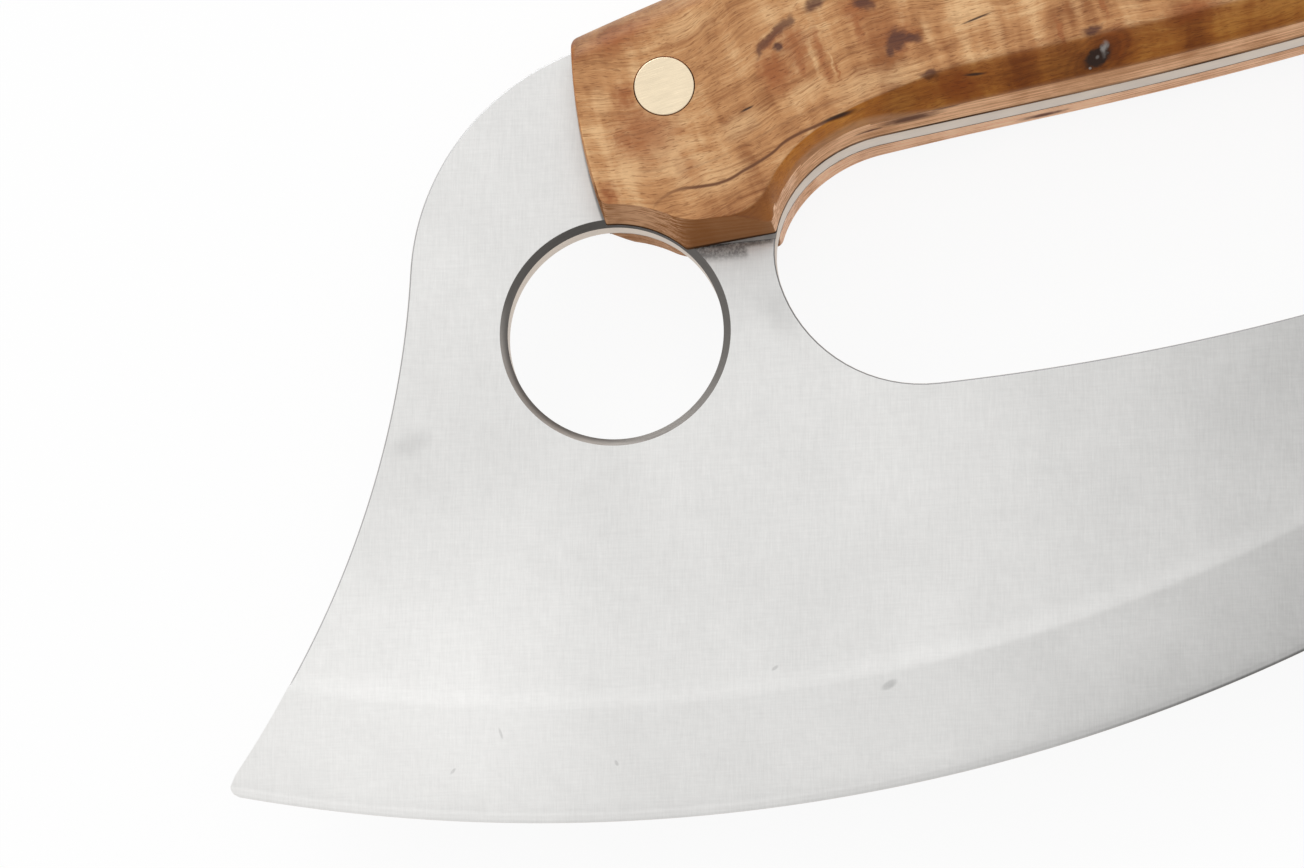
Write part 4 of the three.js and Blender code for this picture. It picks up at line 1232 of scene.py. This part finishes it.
def scale_mesh(plan, side):
    """A scale that is extruded layer by layer from its outline, each vertex leaning in by its own bevel."""
    sizes = plan.sizes
    inner = bmesh.new()
    tops = [vert.co.copy() for vert in scale_outline(inner, plan, 1.0, side)]
    inner.free()
    bm = bmesh.new()
    bm.verts.layers.float_vector.new("foot")
    bm.verts.layers.float_vector.new("lean")
    foot_layer = bm.verts.layers.float_vector["foot"]
    lean_layer = bm.verts.layers.float_vector["lean"]
    for vert, top in zip(scale_outline(bm, plan, 0.0, side), tops, strict=True):
        vert[foot_layer] = vert.co
        vert[lean_layer] = top - vert.co
    loop = bm.edges[:]
    base_loop = loop
    for share, height in bevel_profile(sizes)[1:]:
        verts, loop = raised(bm, loop)
        for vert in verts:
            in_scoop = vert[foot_layer].xy.length < sizes.finger_radius + 3 * sizes.scoop_setback
            reach = height / sizes.scale_thickness if in_scoop else share
            on_back = min(1, max(0, -vert[lean_layer].y / sizes.top_bevel))
            reach = mixed(reach, back_lean(sizes, height) / sizes.top_bevel, on_back)
            vert.co = vert[foot_layer] + vert[lean_layer] * reach + Vector((0, 0, height))
    hole_radius = sizes.pin_diameter / 2 + sizes.pin_clearance
    holes = [ring(bm, place, hole_radius, 0, 64) for place in plan.pins.values()]
    low_rims, high_rims = [], []
    for hole in holes:
        verts, rim = raised(bm, hole)
        bmesh.ops.translate(bm, verts=verts, vec=(0, 0, sizes.scale_thickness))
        low_rims += hole
        high_rims += rim
    bmesh.ops.triangle_fill(bm, edges=base_loop + low_rims, use_beauty=True, normal=(0, 0, -1))
    bmesh.ops.triangle_fill(bm, edges=loop + high_rims, use_beauty=True, normal=(0, 0, 1))
    bmesh.ops.translate(bm, verts=bm.verts, vec=(0, 0, plan.scale_base))
    bmesh.ops.scale(bm, verts=bm.verts, vec=(1, 1, side))
    bmesh.ops.recalc_face_normals(bm, faces=bm.faces)
    shaded(bm)
    for face in bm.faces:
        face.material_index = 1 if abs(face.normal.z) < 0.3 and not is_level(face) else 0
    bm.verts.layers.float_vector.remove(bm.verts.layers.float_vector["foot"])
    bm.verts.layers.float_vector.remove(bm.verts.layers.float_vector["lean"])
    return bm


# Pins

PIN_BREAK = 0.08 * MM


def pin_mesh(plan, place):
    sizes = plan.sizes
    bm = bmesh.new()
    bmesh.ops.create_cone(bm, cap_ends=True, cap_tris=False, segments=96, radius1=sizes.pin_diameter / 2,
                          radius2=sizes.pin_diameter / 2, depth=2 * plan.side,
                          matrix=Matrix.Translation((place.x, place.y, 0)))
    rims = [edge for edge in bm.edges if edge.calc_face_angle(0) > radians(60)]
    bmesh.ops.bevel(bm, geom=rims, offset=PIN_BREAK, offset_type="OFFSET", affect="EDGES",
                    segments=2, profile=0.5, material=-1)
    shaded(bm, radians(60))
    return bm


# Stage

FLOOR_SIZE = 3.0
FLOOR_GAP = 0.05 * MM
FLOOR_WHITE_SHARE = 0.9
PICTURE_WIDTH = 1304
FOCAL_PIXELS = 6000
SENSOR = 36.0
CAMERA_DISTANCE = 0.6
AIM = Vector((1.197 * MM, -11.1 * MM))
CAMERA_BACK = Vector((0.0337, -0.2174, 0.9755))
PICTURE_UP = Vector((0.2420, 0.9488, 0.2031))
SKY_WAY = Vector((-0.1, 0.995, 0.0))
SKY_BANDS = ((-0.9, -0.1, 0.45, 0.92), (0.4, 0.95, 0.0, 0.7))
LAMPS = (
    ("key_softbox", (-0.35, 1.25, 0.7), 0.7, 7.0),
)


def add_floor(colours):
    bm = bmesh.new()
    bmesh.ops.create_grid(bm, x_segments=1, y_segments=1, size=FLOOR_SIZE / 2)
    bmesh.ops.translate(bm, verts=bm.verts, vec=(0, 0, -FLOOR_GAP))
    mesh = bpy.data.meshes.new("floor")
    bm.to_mesh(mesh)
    bm.free()
    mesh.materials.append(pale_floor(colours))
    floor = bpy.data.objects.new("floor", mesh)
    bpy.context.scene.collection.objects.link(floor)


def add_lamp(name, place, size, power, target):
    lamp = bpy.data.lights.new(name, "AREA")
    lamp.shape = "SQUARE"
    lamp.size = size
    lamp.energy = power
    holder = bpy.data.objects.new(name, lamp)
    holder.location = place
    holder.rotation_euler = (target - Vector(place)).to_track_quat("-Z", "Y").to_euler()
    bpy.context.scene.collection.objects.link(holder)


def add_world():
    world = bpy.data.worlds.new("white_room")
    world.use_nodes = True
    ground = world.node_tree.nodes["Background"]
    ground.inputs["Color"].default_value = (1, 1, 1, 1)
    place = world.node_tree.nodes.new("ShaderNodeTexCoord")
    facing = world.node_tree.nodes.new("ShaderNodeVectorMath")
    facing.operation = "DOT_PRODUCT"
    facing.inputs[1].default_value = SKY_WAY
    sky = world.node_tree.nodes.new("ShaderNodeMath")
    bands = [world.node_tree.nodes.new("ShaderNodeMapRange") for _ in SKY_BANDS]
    for band, values, socket in zip(bands, SKY_BANDS, sky.inputs):
        band.interpolation_type = "SMOOTHSTEP"
        for key, value in zip(("From Min", "From Max", "To Min", "To Max"), values):
            band.inputs[key].default_value = value
        world.node_tree.links.new(facing.outputs["Value"], band.inputs["Value"])
        world.node_tree.links.new(band.outputs["Result"], socket)
    links = world.node_tree.links
    links.new(place.outputs["Generated"], facing.inputs[0])
    links.new(sky.outputs[0], ground.inputs["Strength"])
    bpy.context.scene.world = world


def add_camera(plan):
    camera = bpy.data.cameras.new("camera")
    camera.sensor_width = SENSOR
    camera.lens = SENSOR * FOCAL_PIXELS / PICTURE_WIDTH
    camera.clip_start = 0.01
    camera.clip_end = 20
    holder = bpy.data.objects.new("camera", camera)
    bpy.context.scene.collection.objects.link(holder)
    back = CAMERA_BACK.normalized()
    right = PICTURE_UP.cross(back).normalized()
    up = back.cross(right)
    aim = Vector((plan.origin.x + AIM.x, plan.origin.y + AIM.y, plan.origin.z + plan.half_plate))
    turn = Matrix((right, up, back)).transposed()
    holder.matrix_world = Matrix.Translation(aim + back * CAMERA_DISTANCE) @ turn.to_4x4()
    bpy.context.scene.camera = holder


# Operators and panel

def current():
    scene = bpy.context.scene
    return Plan(scene.ulu_sizes), scene.ulu_colours


class ULU_OT_blade(bpy.types.Operator):
    """Build the steel plate with its grind, holes and broken edges"""

    bl_idname = "ulu.blade"
    bl_label = "Blade"

    def execute(self, context):
        plan, colours = current()
        finishes = [satin_steel(plan, colours), cut_steel(plan, colours)]
        finished("blade_plate", blade_mesh(plan), plan, finishes, "blade")
        return {"FINISHED"}


class ULU_OT_scales(bpy.types.Operator):
    """Build the two birch scales with their bevels, scoop and pin holes"""

    bl_idname = "ulu.scales"
    bl_label = "Scales"

    def execute(self, context):
        plan, colours = current()
        for name, side, marks, wall_marks, shift, wall_light_gain in SCALES:
            birch = curly_birch(name + "_birch", plan, colours, marks, shift)
            wall = birch_wall(name + "_birch_wall", plan, colours, marks["flow"], wall_marks, shift, wall_light_gain)
            node = name + "_scale"
            finished(node + "_birch", scale_mesh(plan, side), plan, [birch, wall], node)
        return {"FINISHED"}


class ULU_OT_pins(bpy.types.Operator):
    """Build the brass pins, flush with the scales"""

    bl_idname = "ulu.pins"
    bl_label = "Pins"

    def execute(self, context):
        plan, colours = current()
        brass = brushed_brass(plan, colours)
        for node, place in plan.pins.items():
            finished(node + "_brass", pin_mesh(plan, place), plan, [brass], node)
        return {"FINISHED"}


class ULU_OT_glue_lines(bpy.types.Operator):
    """Give the two glue lines their finishes"""

    bl_idname = "ulu.glue_lines"
    bl_label = "Glue lines"

    def execute(self, context):
        plan, colours = current()
        for node, name, colour in (("left_bond_layer", "dark_glue", colours.glue),
                                   ("right_bond_layer", "clear_glue", colours.clear_glue)):
            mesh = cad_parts[node].data
            mesh.materials.clear()
            mesh.materials.append(glue_film(name, plan, colour, colours.film_top))
        return {"FINISHED"}


class ULU_OT_stage(bpy.types.Operator):
    """Build the floor, the light and the camera"""

    bl_idname = "ulu.stage"
    bl_label = "Stage"

    def execute(self, context):
        plan, colours = current()
        add_floor(colours)
        add_world()
        for name, place, size, power in LAMPS:
            add_lamp(name, place, size, power, Vector((0, 0, 0)))
        add_camera(plan)
        context.scene.view_settings.view_transform = "Standard"
        return {"FINISHED"}


class ULU_PT_panel(bpy.types.Panel):
    """Lists the knife's pieces, sizes and colours"""

    bl_idname = "ULU_PT_panel"
    bl_label = "Ulu knife"
    bl_space_type = "VIEW_3D"
    bl_region_type = "UI"
    bl_category = "Ulu knife"

    def draw(self, context):
        layout = self.layout
        for operator in OPERATORS:
            layout.operator(operator.bl_idname)
        for group in (context.scene.ulu_sizes, context.scene.ulu_colours):
            for key in group.__annotations__:
                layout.prop(group, key)


OPERATORS = (ULU_OT_blade, ULU_OT_scales, ULU_OT_pins, ULU_OT_glue_lines, ULU_OT_stage)
CLASSES = (UluSizes, UluColours, *OPERATORS, ULU_PT_panel)


def register():
    for each in CLASSES:
        bpy.utils.register_class(each)
    bpy.types.Scene.ulu_sizes = bpy.props.PointerProperty(type=UluSizes)
    bpy.types.Scene.ulu_colours = bpy.props.PointerProperty(type=UluColours)


def unregister():
    del bpy.types.Scene.ulu_colours
    del bpy.types.Scene.ulu_sizes
    for each in reversed(CLASSES):
        bpy.utils.unregister_class(each)


def main():
    register()
    bpy.ops.ulu.blade()
    bpy.ops.ulu.scales()
    bpy.ops.ulu.pins()
    bpy.ops.ulu.glue_lines()
    bpy.ops.ulu.stage()


if __name__ == "__main__":
    main()
